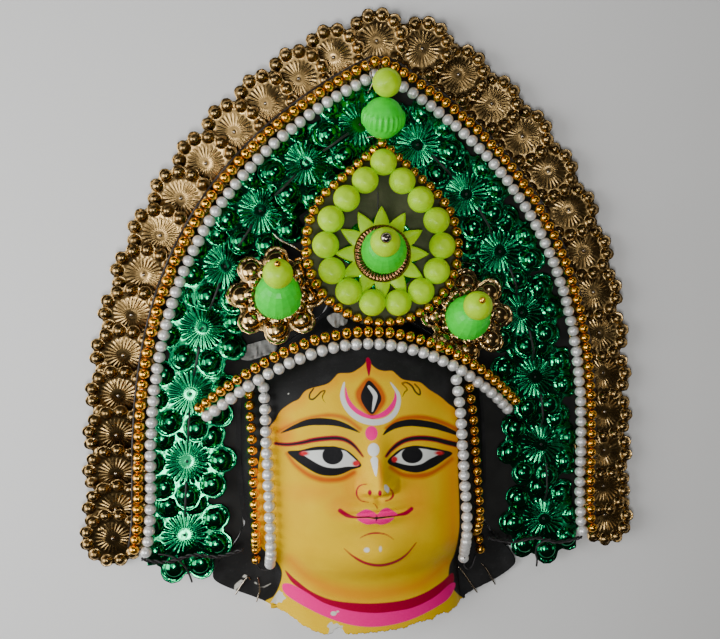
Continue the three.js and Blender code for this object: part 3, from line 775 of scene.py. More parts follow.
HAIRLINE = (
    (268, 430), (275, 420.5), (281, 410.5), (292, 402.5), (299, 399), (307, 390), (327, 384), (335, 377),
    (339, 373.5), (351, 372.8), (359, 368.5), (364.5, 364), (368, 359.5), (371.5, 364.5), (377, 369), (384, 371),
    (392, 371), (397, 375), (403, 379.5), (414, 381.5), (421, 383), (429, 389.5), (440, 396.5), (448, 403.5),
    (456, 411),
)
SKIN_AREA = HAIRLINE + (
    (458, 430), (458, 470), (459, 500), (459, 530), (455, 552), (449.5, 566), (449, 580), (454, 590), (463, 598),
    (476, 604), (480, 660), (262, 660), (262, 608), (274, 596), (280, 584), (282, 572), (277, 562), (266, 552),
    (259, 540), (257, 500), (258, 470), (262, 447),
)
LEFT_CREASE = (
    (275.4, 443.5), (287, 444.5), (300, 443), (313.6, 440), (327, 438.4), (338, 438.2), (347, 440.6), (355, 446.5),
    (363, 456.5),
)
RIGHT_CREASE = (
    (386, 456.5), (391.2, 450), (399.3, 443.3), (408.7, 439.3), (421, 438), (434, 439.2), (447.5, 442.5),
    (457, 444.8),
)
LEFT_BROW = ((281, 433), (293.5, 427.4), (307, 422.8), (320, 421.6), (335, 422.8), (347, 426.4), (360, 432.6))
RIGHT_BROW = (
    (383, 435), (388.6, 429.7), (396.6, 425.2), (408.7, 422.8), (421, 423.4), (434, 425.6), (445, 429), (456, 433.5)
)
LEFT_EYE = (
    (287.5, 451.6), (300, 450.2), (313.6, 447), (327, 446.2), (340.4, 447.6), (351, 453), (361.5, 465.4),
    (351, 470), (340.4, 474.6), (329.6, 475.9), (317.6, 473.9), (305.5, 467.2), (295.5, 460),
)
LEFT_SCLERA = (
    (301.5, 452.8), (311, 450.8), (323, 450), (341.7, 450.2), (349, 454), (358.8, 464.8), (346, 466.7),
    (335, 468), (324.3, 466.6), (313, 461),
)
RIGHT_EYE = (
    (387.5, 462.3), (394, 453.8), (402, 448.4), (414, 445.6), (427.4, 446.8), (441, 449.4), (452.5, 453),
    (445, 459.5), (434, 466.8), (421, 472), (410, 472), (399, 468.6),
)
RIGHT_SCLERA = (
    (392, 459.6), (398, 453.6), (404.6, 449.2), (414, 448.4), (423.4, 448.8), (432, 450.4), (441.5, 452.4),
    (429, 459.4), (421, 464), (411.3, 465.4), (400.6, 463.4),
)
THIRD_EYE = ((369, 380.5), (363.5, 388), (360.8, 396), (363, 404), (372, 414.4), (379, 405), (381.4, 398), (377.5, 389))
CRESCENT = (
    (344.2, 382.5), (342.3, 395), (345.2, 405), (352, 413.6), (362, 419.8), (374, 422.4), (386, 420), (395, 412.5),
    (398.6, 402), (397.6, 393), (390.5, 382.5),
)
ROSE_CRESCENT = (
    (345.4, 387), (347.2, 398), (352.4, 407.3), (360, 413.4), (372, 417.2), (384, 414), (392, 406.5), (395.6, 398),
    (395.4, 389),
)
MOUTH_LINE = (
    (340, 510.6), (347, 515.2), (355, 517.3), (367, 517.2), (376.5, 517.8), (387, 516.6), (398, 515), (406, 513),
    (411.6, 508.8),
)
RED_BAND = (
    (285, 570), (295.7, 579.6), (312, 591.8), (332.4, 600), (357, 603), (379.4, 603), (404, 600), (424.3, 592.9),
    (440.6, 582.7), (452, 573), (454, 580), (450.8, 584.5), (434.5, 598), (414, 608.2), (393.7, 612.4),
    (373.3, 614), (348.8, 611.4), (324.3, 604), (306, 593), (291.6, 582),
)
ROSE_BAND = (
    (282.5, 584.5), (291, 584), (306, 592), (324.3, 603), (348.8, 610.4), (373.3, 613), (393.7, 611.4), (414, 607.2),
    (434.5, 597), (450.8, 583.5), (455.5, 585), (449, 598), (434.5, 608.2), (414, 618.4), (393.7, 624.5),
    (371.2, 627), (348.8, 624.5), (324.3, 616.3), (300, 604), (285, 593.5),
)

# Each layer's strokes, patches and dots; a few in the soft layers are painted shade, marked where they stand.
BRUSHWORK_AND_SHADE: dict[Paint, tuple[Stroke | Patch | Dot, ...]] = {
    Paint.BLUSH: (
        Stroke(HAIRLINE, (14, 14), 9.0, 0.55),
        Dot((284, 432), (9, 14), 10.0, 0.8),
        Dot((352, 486), (13, 22), 14.0, 0.5),
        Dot((318, 492), (34, 8), 12.0, 0.4),
        Dot((342, 505), (14, 13), 12.0, 0.5),
        # Painted shade: the right cheek, turned away from the light, darkened.
        Dot((416, 500), (14, 24), 16.0, 0.55),
        Dot((374, 440), (5, 22), 8.0, 0.35),
        Stroke(((290, 560), (312, 580), (345, 593), (380, 594), (420, 584), (447, 562)), (9, 14, 9), 9.0, 0.75),
        Stroke(((262, 470), (262, 540)), (16, 16), 12.0, 0.45),
        # Airbrush down the right edge, laid on heavier there as painted shade.
        Stroke(((452, 440), (453, 540)), (14, 14), 18.0, 0.8),
    ),
    Paint.HALO: (
        Patch(((368.5, 377), (357.5, 388), (355.4, 396), (360, 406), (371.5, 417), (383, 407), (386, 397),
               (380, 385)), 3.2),
        Stroke(((277, 432), (300, 420.6), (320, 416), (335, 415.6), (347, 419.2), (360, 429)), (2, 4.5, 4),
                3.0, 0.85),
        Stroke(((386, 428), (398, 420), (410, 417.4), (427, 418), (445, 423.6), (457, 429.4)), (3, 5, 4), 2.6),
        Stroke(((287, 453.5), (295, 464.5), (308, 474.5), (320, 479), (332, 480), (343, 478.4), (354, 472.6)),
                (3, 6, 5), 3.6),
        Stroke(((391, 467.5), (402, 474.3), (415.4, 476), (429, 474), (441, 467.4), (452, 459)), (4, 6, 3), 3.6),
        # Painted shade down the right side of the nose's ridge.
        Stroke(((379.6, 461), (381, 474), (381, 487)), (3, 4.5, 3), 4.0, 0.6),
    ),
    Paint.CRIMSON: (
        Patch(((366, 359.5), (368.4, 357.5), (371, 362), (371, 368), (368.9, 376.5), (366.5, 368)), 0.8),
        Stroke(LEFT_CREASE, (3.6, 4.2, 5.2, 5.4, 4.4, 2), 1.4),
        Stroke(RIGHT_CREASE, (2.6, 5, 5.6, 5.6, 5.4), 1.4),
        Stroke(ROSE_CRESCENT[3:6], (1.5, 4.4, 1.5), 1.2),
        Stroke(((367, 484), (360.4, 485.4), (356.9, 490), (357.2, 496), (361.1, 500.7), (368.5, 502.2)),
                (1.1, 1.9, 1.1), 0.9),
        Stroke(((389.4, 488), (392.4, 492), (392.9, 496), (390, 499.4), (385.5, 501)), (1.4, 2.2, 1.2), 0.9),
        Stroke(((373, 503), (376, 505.6), (377.4, 508.4)), (0.9, 1.2, 1.4), 0.9, 0.8),
        Dot((369.8, 492.7), (2.0, 3.0)),
        Dot((379.9, 493.3), (2.0, 3.2)),
        Stroke(MOUTH_LINE, (4.4, 4.4, 2.4, 1.8, 1.8, 1.8, 2.6, 4.2, 4.0), 1.0),
        Stroke(((360, 538), (367, 534.6), (375, 533), (385.5, 534.4), (394, 539.6)), (0.8, 2.0, 0.8), 0.9),
        Stroke(((344, 548.5), (353, 556.2), (365, 562.9), (379.4, 565.4), (393.7, 562.4), (406, 555), (416.4, 542.5)),
                (0.8, 2.4, 2.9, 2.4, 0.8), 0.9),
        Patch(RED_BAND, 1.0),
    ),
    Paint.ROSE: (
        Stroke(ROSE_CRESCENT, (0.8, 3.2, 5.2, 5.6, 2.6, 5.6, 5.2, 3.2, 0.8), 0.9),
        Dot((371.4, 433.2), (6.2, 7.3)),
        Patch(((356, 515.6), (361.6, 510.9), (367.1, 509.2), (373.6, 511.8), (377.6, 514.2), (381.9, 509.5),
               (387.2, 507.8), (392.8, 510.6), (397.6, 514.6), (387, 516), (376.5, 517), (366, 516.6))),
        Patch(((357, 518.7), (367, 518.4), (376.5, 519.2), (388.6, 518.1), (394.4, 517.8), (389, 522.6), (381, 524.8),
               (375.4, 523.8), (367.4, 524.6), (360.4, 521.8))),
        Patch(ROSE_BAND, 1.0),
    ),
    Paint.BLACK: (
        Stroke(LEFT_BROW, (0.8, 4.2, 6.6, 7.4, 6.4, 4.6, 0.8)),
        Stroke(RIGHT_BROW, (0.8, 4.2, 6.2, 7, 7, 6.6, 5.6, 3.4)),
        Stroke(LEFT_CREASE, (1.6, 1.8, 2.0, 2.3, 2.5, 2.5, 2.4, 2.0, 0.8)),
        Stroke(RIGHT_CREASE, (0.8, 2.2, 3.0, 3.2, 3.2, 3.6, 4.2, 4.2)),
        Patch(LEFT_EYE),
        Patch(RIGHT_EYE),
        Patch(THIRD_EYE),
        Stroke(((313.8, 388.4), (310, 393.6), (309.6, 398.4), (313.2, 399.2), (317.6, 395.4), (321.4, 391.6),
                (325, 391), (322.6, 396), (323, 399.6), (325.4, 402.6)), (1.5, 1.8, 1.5, 1.3, 0.6), 0.8),
        Stroke(((402, 383), (406.6, 382.6), (411.8, 386), (415.6, 392), (419.8, 394.8), (419.6, 389.6), (414.6, 384)),
                (1.4, 1.8, 1.6, 1.4), 0.8),
        Stroke(((402.4, 384), (407.3, 389.3), (404.8, 392), (402.6, 396.4)), (1.2, 1.2, 0.7), 0.8),
    ),
    Paint.WHITE: (
        Patch(LEFT_SCLERA),
        Patch(RIGHT_SCLERA),
        Stroke(CRESCENT, (1.4, 4.6, 5.0, 5.6, 6.0, 6.0, 5.6, 5.0, 4.4, 3.4, 1.0), 0.9),
        Stroke(((368.8, 386.6), (372.6, 391), (375.2, 396), (374.2, 403), (372.4, 411.5)), (2.6, 4.0, 4.4, 3.4, 1.0),
                0.8),
        Dot((373.5, 449.8), (5.8, 6.7)),
        Stroke(((374.3, 460.6), (375, 467), (375.9, 476)), (7.6, 5.6, 1.2), 0.8),
        Stroke(((385.6, 486), (386.8, 489), (387.6, 491.6)), (3.0, 5.0, 2.6), 1.0),
        Dot((366.7, 550), (2.8, 2.4), 1.6, 0.8),
        Dot((380.4, 549), (1.3, 2.4), 1.6, 0.7),
    ),
    Paint.EYE_RED: (
        Dot((304.4, 453.4), (4.4, 2.2), 1.6),
        Dot((356.0, 463.4), (3.6, 2.8), 1.6),
        Dot((394.6, 459.4), (3.0, 3.0), 1.6),
        Dot((439.0, 453.0), (4.4, 2.0), 1.6),
    ),
    Paint.IRIS: (
        Stroke(((357, 517.6), (367, 517.0), (376.5, 518.2), (387, 516.8), (395, 516.6)), (0.6, 1.5, 1.9, 1.5, 0.6)),
        Stroke(((376.5, 515.6), (376.7, 518.4), (376.2, 521)), (0.8, 1.8, 0.8)),
        Dot((332.7, 455.4), (10.5, 9.2)),
        Dot((412.2, 455), (10.7, 8.4)),
    ),
    Paint.PRIMER: (
        Dot((333.5, 613.5), (3.0, 2.2)),
        Patch(((279, 590.5), (281, 592), (282.6, 592.4), (283.4, 595.4), (286, 598.2), (283, 600.2), (281.6, 602.8),
               (278.6, 602.2), (276, 604.4), (273, 602.4), (270.4, 603), (273, 599), (275, 595.6)), 0.7),
        Patch(((329, 623.4), (331.6, 621.8), (333.6, 624.4), (337, 623.2), (340, 625.6), (343.4, 625.8),
               (341.2, 629.2), (342, 633), (336, 640), (327, 640), (329.4, 629.4), (327, 626.6)), 0.7),
        Stroke(((235, 590), (237, 585.6), (241.6, 581), (243.4, 577.4), (247.6, 574)), (1.6, 5.0, 2.8, 4.4, 1.2)),
        Stroke(((252, 582), (255.4, 583.4), (256.4, 586.6), (259.4, 587.6)), (0.8, 2.8, 1.8, 0.8)),
        Stroke(((261.6, 588), (266, 586.2), (271.4, 583)), (0.6, 1.3, 0.6)),
        Stroke(((476.6, 594), (479.4, 591), (482.6, 588)), (0.8, 1.8, 0.8)),
        Dot((288.4, 393.8), (0.8, 0.8)),
        Dot((337.6, 611.6), (1.6, 1.0)),
    ),
}


class Painter:
    """Casts the brushwork, painted shade among it, onto a mesh: how deep inside each shape every point lies, in soft
    edges.
    """

    outside = -4.0

    def __init__(self, pixels: Array) -> None:
        """Takes the mesh's points as pixels of the photograph."""
        self.pixels = pixels
        self.marks = {layer: np.full(len(pixels), self.outside) for layer in Paint}

    def _line(self, pixels: Array, line: Array) -> tuple[Array, Array]:
        """Distance from each pixel to a line of short straight pieces, and the share along it.

        Args:
            pixels: Pixel pairs.
            line: The line's points.

        Returns:
            The distances and the shares.
        """
        start, step = line[:-1], np.diff(line, axis=0)
        square = np.maximum((step**2).sum(1), 1e-9)
        share = np.clip(((pixels[:, None] - start) * step).sum(2) / square, 0, 1)
        away = np.linalg.norm(pixels[:, None] - (start + share[..., None] * step), axis=2)
        best = away.argmin(1)
        rows = np.arange(len(pixels))
        return away[rows, best], (best + share[rows, best]) / len(step)

    def _inside(self, pixels: Array, line: Array) -> Array:
        """Whether each pixel lies inside a closed line: how often a level ray crosses it is odd.

        Args:
            pixels: Pixel pairs.
            line: The line's points.

        Returns:
            True for those inside.
        """
        a, b = line, np.roll(line, -1, axis=0)
        spans = (a[:, 1] > pixels[:, 1:2]) != (b[:, 1] > pixels[:, 1:2])
        rise = np.where(np.abs(b[:, 1] - a[:, 1]) < 1e-9, 1e-9, b[:, 1] - a[:, 1])
        cross = a[:, 0] + (pixels[:, 1:2] - a[:, 1]) / rise * (b[:, 0] - a[:, 0])
        return (spans & (pixels[:, 0:1] < cross)).sum(1) % 2 == 1

    def depth(self, places: Places, soft: float, widths: Sequence[float] | None = None) -> Array:
        """How far inside a stroke or a filled outline each point lies, in steps of its soft edge.

        Args:
            places: The line of pixels.
            soft: Width of the soft edge.
            widths: The stroke's widths, or none for a filled outline.

        Returns:
            Above 0 inside, below 0 outside, held at the outside value far away.
        """
        line = spline(places, 8, closed=widths is None)
        reach = soft * -self.outside + (max(widths) / 2 if widths else 0)
        low, high = line.min(0) - reach, line.max(0) + reach
        near = np.flatnonzero(((self.pixels > low) & (self.pixels < high)).all(1))
        result = np.full(len(self.pixels), self.outside)
        if len(near) == 0:
            return result
        pixels = self.pixels[near]
        if widths is None:
            away = self._line(pixels, np.concatenate([line, line[:1]]))[0]
            depth = np.where(self._inside(pixels, line), away, -away)
        else:
            away, share = self._line(pixels, line)
            depth = np.interp(share, np.linspace(0, 1, len(widths)), widths) / 2 - away
        result[near] = np.clip(depth / soft, self.outside, -self.outside)
        return result

    def brush(self, layer: Paint, item: Stroke | Patch | Dot) -> None:
        """Adds one item to a layer; soft layers keep a strength from 0 to 1.

        Args:
            layer: The layer.
            item: What is painted.
        """
        if isinstance(item, Dot):
            away = np.linalg.norm((self.pixels - item.middle) / item.half, axis=1)
            depth = (1 - away) * min(item.half) / item.soft
        else:
            widths = item.widths if isinstance(item, Stroke) else None
            depth = self.depth(item.places, item.soft, widths)
        if layer in (Paint.BLUSH, Paint.HALO):
            depth = np.clip(depth + 0.5, 0, 1) * item.strength
        depth = np.clip(depth, self.outside, -self.outside)
        self.marks[layer] = np.maximum(self.marks[layer], depth)


@dataclass(frozen=True)
class Swelling:
    """A round rise on the face, or a dent below 0; a paired one stands on both sides."""

    height: float
    at: Pair
    spread: Pair
    paired: bool = False

    def over(self, u: Array, v: Array) -> Array:
        """Its height at each place: a bell curve each way."""
        across = (np.abs(u) if self.paired else u) - self.at[0]
        return self.height * np.exp(-((across / self.spread[0]) ** 2) - ((v - self.at[1]) / self.spread[1]) ** 2)


RELIEF = {
    "nostrils": Swelling(4.9, (9, 1), (4.5, 5), True),
    "upper lip": Swelling(4, (0, -12.5), (20, 3.2)),
    "lower lip": Swelling(4, (0, -20), (17, 4)),
    "chin": Swelling(4, (0, -44), (17, 11)),
    "cheeks": Swelling(2.5, (36, -12), (18, 16), True),
    "eyes": Swelling(3, (33, 17), (17, 9), True),
    "parting of the lips": Swelling(-1.5, (0, -16.4), (18, 1.1)),
    "creases under the nostrils": Swelling(-1.0, (9.5, -5.5), (4, 1.6), True),
    "creases beside the nostrils": Swelling(-0.8, (14.5, 1), (1.5, 5), True),
    "hollow under the nose": Swelling(-1.2, (0, -8), (2.2, 3)),
    "hollow over the chin": Swelling(-1.0, (0, -29), (14, 3)),
}


@dataclass
class FaceShell:
    """The papier-mache face: a skin over two directions, u across and v up from the nose tip."""

    bench: Bench
    camera: PhotoCamera
    middle: Pair = (-4.0, -110.0)
    lean: float = math.radians(3)
    depth: float = 61.0
    nose: float = 14.0
    nose_half: float = 7.5
    head: float = 86.0
    hem: float = 2.0
    snug: float = 0.9
    top: float = 116.0
    neck: float = 110.0
    wall: float = 5.0
    wing: float = 108.0
    wing_skew: float = 6.0
    rows: int = 300
    columns: int = 280
    coarse: int = 10

    def __post_init__(self) -> None:
        """Sets up the form's curves, as shares of its own length, half-width and depth."""
        self.crest_share = through((
            (-1, 0.61), (-0.77, 0.62), (-0.64, 0.7), (-0.51, 0.9), (-0.38, 1), (0, 0.98), (0.3, 1), (0.52, 0.95),
            (0.65, 0.87), (0.76, 0.745), (0.81, 0.68), (0.87, 0.53), (0.93, 0.33), (1, 0.1),
        ))
        self.head_share = through((
            (-1, 0.79), (-0.64, 0.775), (-0.52, 0.82), (-0.41, 0.91), (-0.27, 0.98), (0, 1), (0.3, 0.99),
            (0.52, 0.955), (0.6, 0.89), (0.69, 0.73), (0.78, 0.55), (0.86, 0.39), (0.95, 0.23), (1, 0.2),
        ))
        self.wing_share = through((
            (-0.97, 0.62), (-0.9, 0.69), (-0.73, 1), (-0.62, 0.98), (-0.5, 0.86), (-0.4, 0.8), (-0.3, 0.7), (-0.2, 0),
        ))
        turn = turned("z", self.lean)
        self.seat = Seat(np.array([*self.middle, 0.0]), turn)

    def share(self, v: Array) -> Array:
        """A height as a share of the way to the top or to the neck's end."""
        return np.where(v > 0, v / self.top, v / self.neck)

    def head_half(self, v: Array) -> Array:
        """Half-width of the head."""
        return self.head * self.head_share(self.share(v))

    def rim_half(self, v: Array, side: Array) -> Array:
        """Half-width of the shell with its wings, which hang lower on the right."""
        wing = self.wing * self.wing_share((v + side * self.wing_skew) / self.neck)
        return np.maximum(self.head_half(v) + self.hem, wing) + self.snug * (wing < self.head_half(v) + self.hem)

    def relief(self, u: Array, v: Array) -> Array:
        """Nose, lips, chin, cheeks and eyes, raised on the plain form: a ridge and every swelling.

        Args:
            u: Places across.
            v: Places up from the nose tip.

        Returns:
            The height over the plain form.
        """
        ridge = smooth(v, -8, 0) * (1 - 0.85 * smooth(v, 0, 36)) * (1 - smooth(v, 30, 46))
        height = self.nose * ridge * np.exp(-((u / self.nose_half) ** 2))
        for swelling in RELIEF.values():
            height = height + swelling.over(u, v)
        return height

    def skin(self, u: Array, v: Array) -> Array:
        """Height of the outer skin: the crest's height times a round, with the relief on it."""
        x = np.minimum(np.abs(u) / self.head_half(v), 1)
        round_ = np.sqrt(1 - x * x)
        return np.maximum((self.depth * self.crest_share(self.share(v)) + self.relief(u, v)) * round_, self.wall)

    def on_skin(self, places: Places, lift: float = 0.0) -> Array:
        """Pixels cast onto the skin, found by casting onto level planes until the height settles.

        Args:
            places: Pixel pairs.
            lift: Height over the skin.

        Returns:
            Drawing-frame points.
        """
        height = np.full(len(places), self.depth * 0.6)
        for _ in range(30):
            points = np.concatenate([self.camera.cast([p], h) for p, h in zip(places, height)])
            local = (points - self.seat.middle) @ self.seat.turn
            height = 0.5 * height + 0.5 * (self.skin(local[:, 0], local[:, 1]) + lift)
        points[:, 2] = height
        return points

    def _across(self, s: Array, v: Array) -> Array:
        """Where a column crosses a row: crowded at the head's steep side, then out over the wing.

        Args:
            s: The column's share, -1 at the left rim to 1 at the right.
            v: The row's height.

        Returns:
            Places across.
        """
        side = np.sign(s)
        size = np.abs(s)
        inner = self.head_half(v) * np.interp(size, [0, 0.8, 0.9], [0, 0.94, 1])
        outer = smooth(size, 0.9, 1.0) * (self.rim_half(v, side) - self.head_half(v))
        return side * (inner + outer)

    def _ragged(self, u: Array) -> Array:
        """How far the neck's torn edge steps back, from sines, a slant at each corner and four chips.

        Args:
            u: Places across.

        Returns:
            The step at each.
        """
        tear = 0.5 + 0.35 * np.sin(u * 0.9) + 0.3 * np.sin(u * 2.3 + 1) + 0.25 * np.sin(u * 5.1 + 2)
        chips = ((-27.0, 4.0, 4.5), (31.0, 9.0, 1.8), (46.0, 5.0, 2.6), (-60.0, 6.0, 1.5))
        corner = 11 * smooth(-u, 34, 68) + 2.5 * smooth(u, 40, 66)
        return np.maximum(tear, 0) + corner + sum(d * np.exp(-(((u - at) / w) ** 4)) for at, w, d in chips)

    def build(self) -> None:
        """Makes the shell: skin, hollow back and the rims that close it."""
        shape = Piece("face_shell")
        s = np.linspace(-1, 1, self.columns + 1)[None, :]
        v0 = np.linspace(-self.neck, self.top, self.rows + 1)[:, None]
        u = self._across(s, v0 + 0 * s)
        near_edge = 1 - smooth(v0, -self.neck, -self.neck + 16)
        v = v0 + near_edge * self._ragged(u)
        z = self.skin(u, v)
        outer = np.stack([u, v, z], axis=-1)
        side_foot = [outer[:, [0]] * [1, 1, 0], outer[:, [-1]] * [1, 1, 0]]
        outer = np.concatenate([side_foot[0], outer, side_foot[1]], axis=1)
        outer = np.concatenate([outer, outer[-1:] * [1, 1, 0]])
        rows, columns = outer.shape[:2]
        seats = self.seat.carry(outer.reshape(-1, 3))
        painter = Painter(self.camera.pixels(seats))
        for layer, items in BRUSHWORK_AND_SHADE.items():
            for item in items:
                painter.brush(layer, item)
        marks = {layer.mark: values for layer, values in painter.marks.items()}
        marks["skin_area"] = painter.depth(SKIN_AREA, 1.0)

        few = columns - 1
        count = few // self.coarse
        across = np.linspace(-1, 1, count + 1)[None, :]
        rise = outer[:, [0], 1]
        high = np.minimum(rise, self.top - self.wall)
        half = np.maximum(self.head_half(high) - self.wall, 4)
        room = self.depth * np.minimum(
            self.crest_share(self.share(high)), self.crest_share(self.share(high + self.wall))
        ) - self.wall
        room = np.maximum(room, 0) * (1 - smooth(rise, self.top - 9, self.top - self.wall))
        inner = np.stack([
            half * np.sin(across * math.pi / 2), high + 0 * across, room * np.cos(across * math.pi / 2)
        ], axis=-1)
        inner[..., 2] += 0.5 * np.sin(inner[..., 0] * 0.35) * np.sin(inner[..., 1] * 0.27) * (inner[..., 2] > 1)
        first = rows * columns
        inner_index = first + np.arange(rows * (count + 1)).reshape(rows, count + 1)
        outer_index = np.arange(rows * columns).reshape(rows, columns)
        bands = [
            np.stack([outer_index[:-1, 0], outer_index[1:, 0], inner_index[1:, 0], inner_index[:-1, 0]], axis=1),
            np.stack([outer_index[1:, -1], outer_index[:-1, -1], inner_index[:-1, -1], inner_index[1:, -1]], axis=1),
        ]
        ends = [self._bridge(outer_index[-1], inner_index[-1]), self._bridge(outer_index[0], inner_index[0])[:, ::-1]]
        points = np.concatenate([seats, self.seat.carry(inner.reshape(-1, 3))])
        for name in marks:
            marks[name] = np.concatenate([marks[name], np.full(inner.shape[0] * inner.shape[1], Painter.outside)])
        bare = np.concatenate([np.zeros(first), np.ones(inner.shape[0] * inner.shape[1])])
        shape.add(
            points,
            np.concatenate([net(rows, columns), net(rows, count + 1, flip=True) + first, *bands]),
            np.concatenate(ends),
            bare=bare,
            **marks,
        )
        shape.finish(self.bench, Slot.FACE, "face_mask")

    @staticmethod
    def _bridge(many: Array, few: Array) -> Array:
        """Triangles between a finely and a coarsely cut line.

        Args:
            many: Indices along the fine line.
            few: Indices along the coarse line.

        Returns:
            Triangles that close the strip.
        """
        near = np.minimum(np.round((np.arange(len(many) - 1) + 0.5) / (len(many) - 1) * (len(few) - 1)), len(few) - 1)
        near = near.astype(int)
        fine = np.stack([many[:-1], many[1:], few[near]], axis=1)
        turn = np.array([np.searchsorted(near, c + 1) for c in range(len(few) - 1)])
        wide = np.stack([few[:-1], many[np.minimum(turn, len(many) - 1)], few[1:]], axis=1)
        return np.concatenate([fine, wide])


@dataclass(frozen=True)
class Arch:
    """The pearl arch: one side is a cubic from its foot up to the tip, mirrored for the other."""

    foot: Pair = (154.0, -160.0)
    waist: Pair = (140.0, -110.0)
    shoulder: Pair = (187.0, 62.0)
    tip: Pair = (0.0, 159.0)
    samples: int = 1200

    def _side(self) -> tuple[Array, Array]:
        """Points along one side and the run up to each.

        Returns:
            The points and the runs.
        """
        t = np.linspace(0, 1, self.samples)[:, None]
        a, b, c, d = (np.array(p) for p in (self.foot, self.waist, self.shoulder, self.tip))
        line = a * (1 - t) ** 3 + 3 * b * t * (1 - t) ** 2 + 3 * c * t**2 * (1 - t) + d * t**3
        run = np.concatenate([[0], np.cumsum(np.linalg.norm(np.diff(line, axis=0), axis=1))])
        return line, run

    @property
    def length(self) -> float:
        """Length of one side."""
        return float(self._side()[1][-1])

    def along(self, distance: Array, outset: Array | float, side: int) -> tuple[Array, Array]:
        """Places at distances up one side.

        Args:
            distance: Run from the foot.
            outset: How far outside the arch, below 0 for inside.
            side: -1 left, 1 right.

        Returns:
            Places as x and y, and the heading up the arch in radians.
        """
        line, run = self._side()
        ahead = np.gradient(line, axis=0)
        ahead /= np.linalg.norm(ahead, axis=1)[:, None]
        at = np.clip(distance, 0, run[-1])
        x, y, dx, dy = (np.interp(at, run, column) for column in (*line.T, *ahead.T))
        norm = np.hypot(dx, dy)
        x, y = x + dy / norm * outset, y - dx / norm * outset
        return np.stack([side * x, y], axis=-1), np.arctan2(dy, side * dx)

    def line(self, outset: float, height: float) -> Array:
        """The whole arch at an outset, from the left foot over the tip to the right foot.

        Args:
            outset: How far outside the arch.
            height: Its height over the surface.

        Returns:
            Points along it.
        """
        run = np.linspace(0, self.length, 240)
        left = self.along(run, outset, -1)[0]
        right = self.along(run[::-1], outset, 1)[0]
        flat = np.concatenate([left[left[:, 0] <= 0], right[right[:, 0] >= 0]])
        keep = np.concatenate([[True], np.linalg.norm(np.diff(flat, axis=0), axis=1) > 1e-6])
        flat = flat[keep]
        return np.column_stack([flat, np.full(len(flat), height)])

    def tuck(self, points: Array, side: int) -> tuple[Array, Array]:
        """Pulls points that reach outside the arch back onto it.

        Args:
            points: Drawing-frame points.
            side: -1 left, 1 right.

        Returns:
            The points, and which of them were pulled.
        """
        line, run = self._side()
        coarse = line[::8]
        flat = points[:, :2] * [side, 1]
        best = ((flat[:, None] - coarse) ** 2).sum(2).argmin(1) * 8
        ahead = np.gradient(line, axis=0)[best]
        out = np.stack([ahead[:, 1], -ahead[:, 0]], axis=1) / np.linalg.norm(ahead, axis=1)[:, None]
        outset = ((flat - line[best]) * out).sum(1)
        outset = np.where(flat[:, 1] < self.foot[1], flat[:, 0] - self.foot[0], outset)
        out = np.where((flat[:, 1] < self.foot[1])[:, None], [1.0, 0.0], out)
        outside = outset > 0
        flat = flat - out * np.where(outside, outset, 0)[:, None]
        return np.column_stack([flat * [side, 1], points[:, 2]]), outside


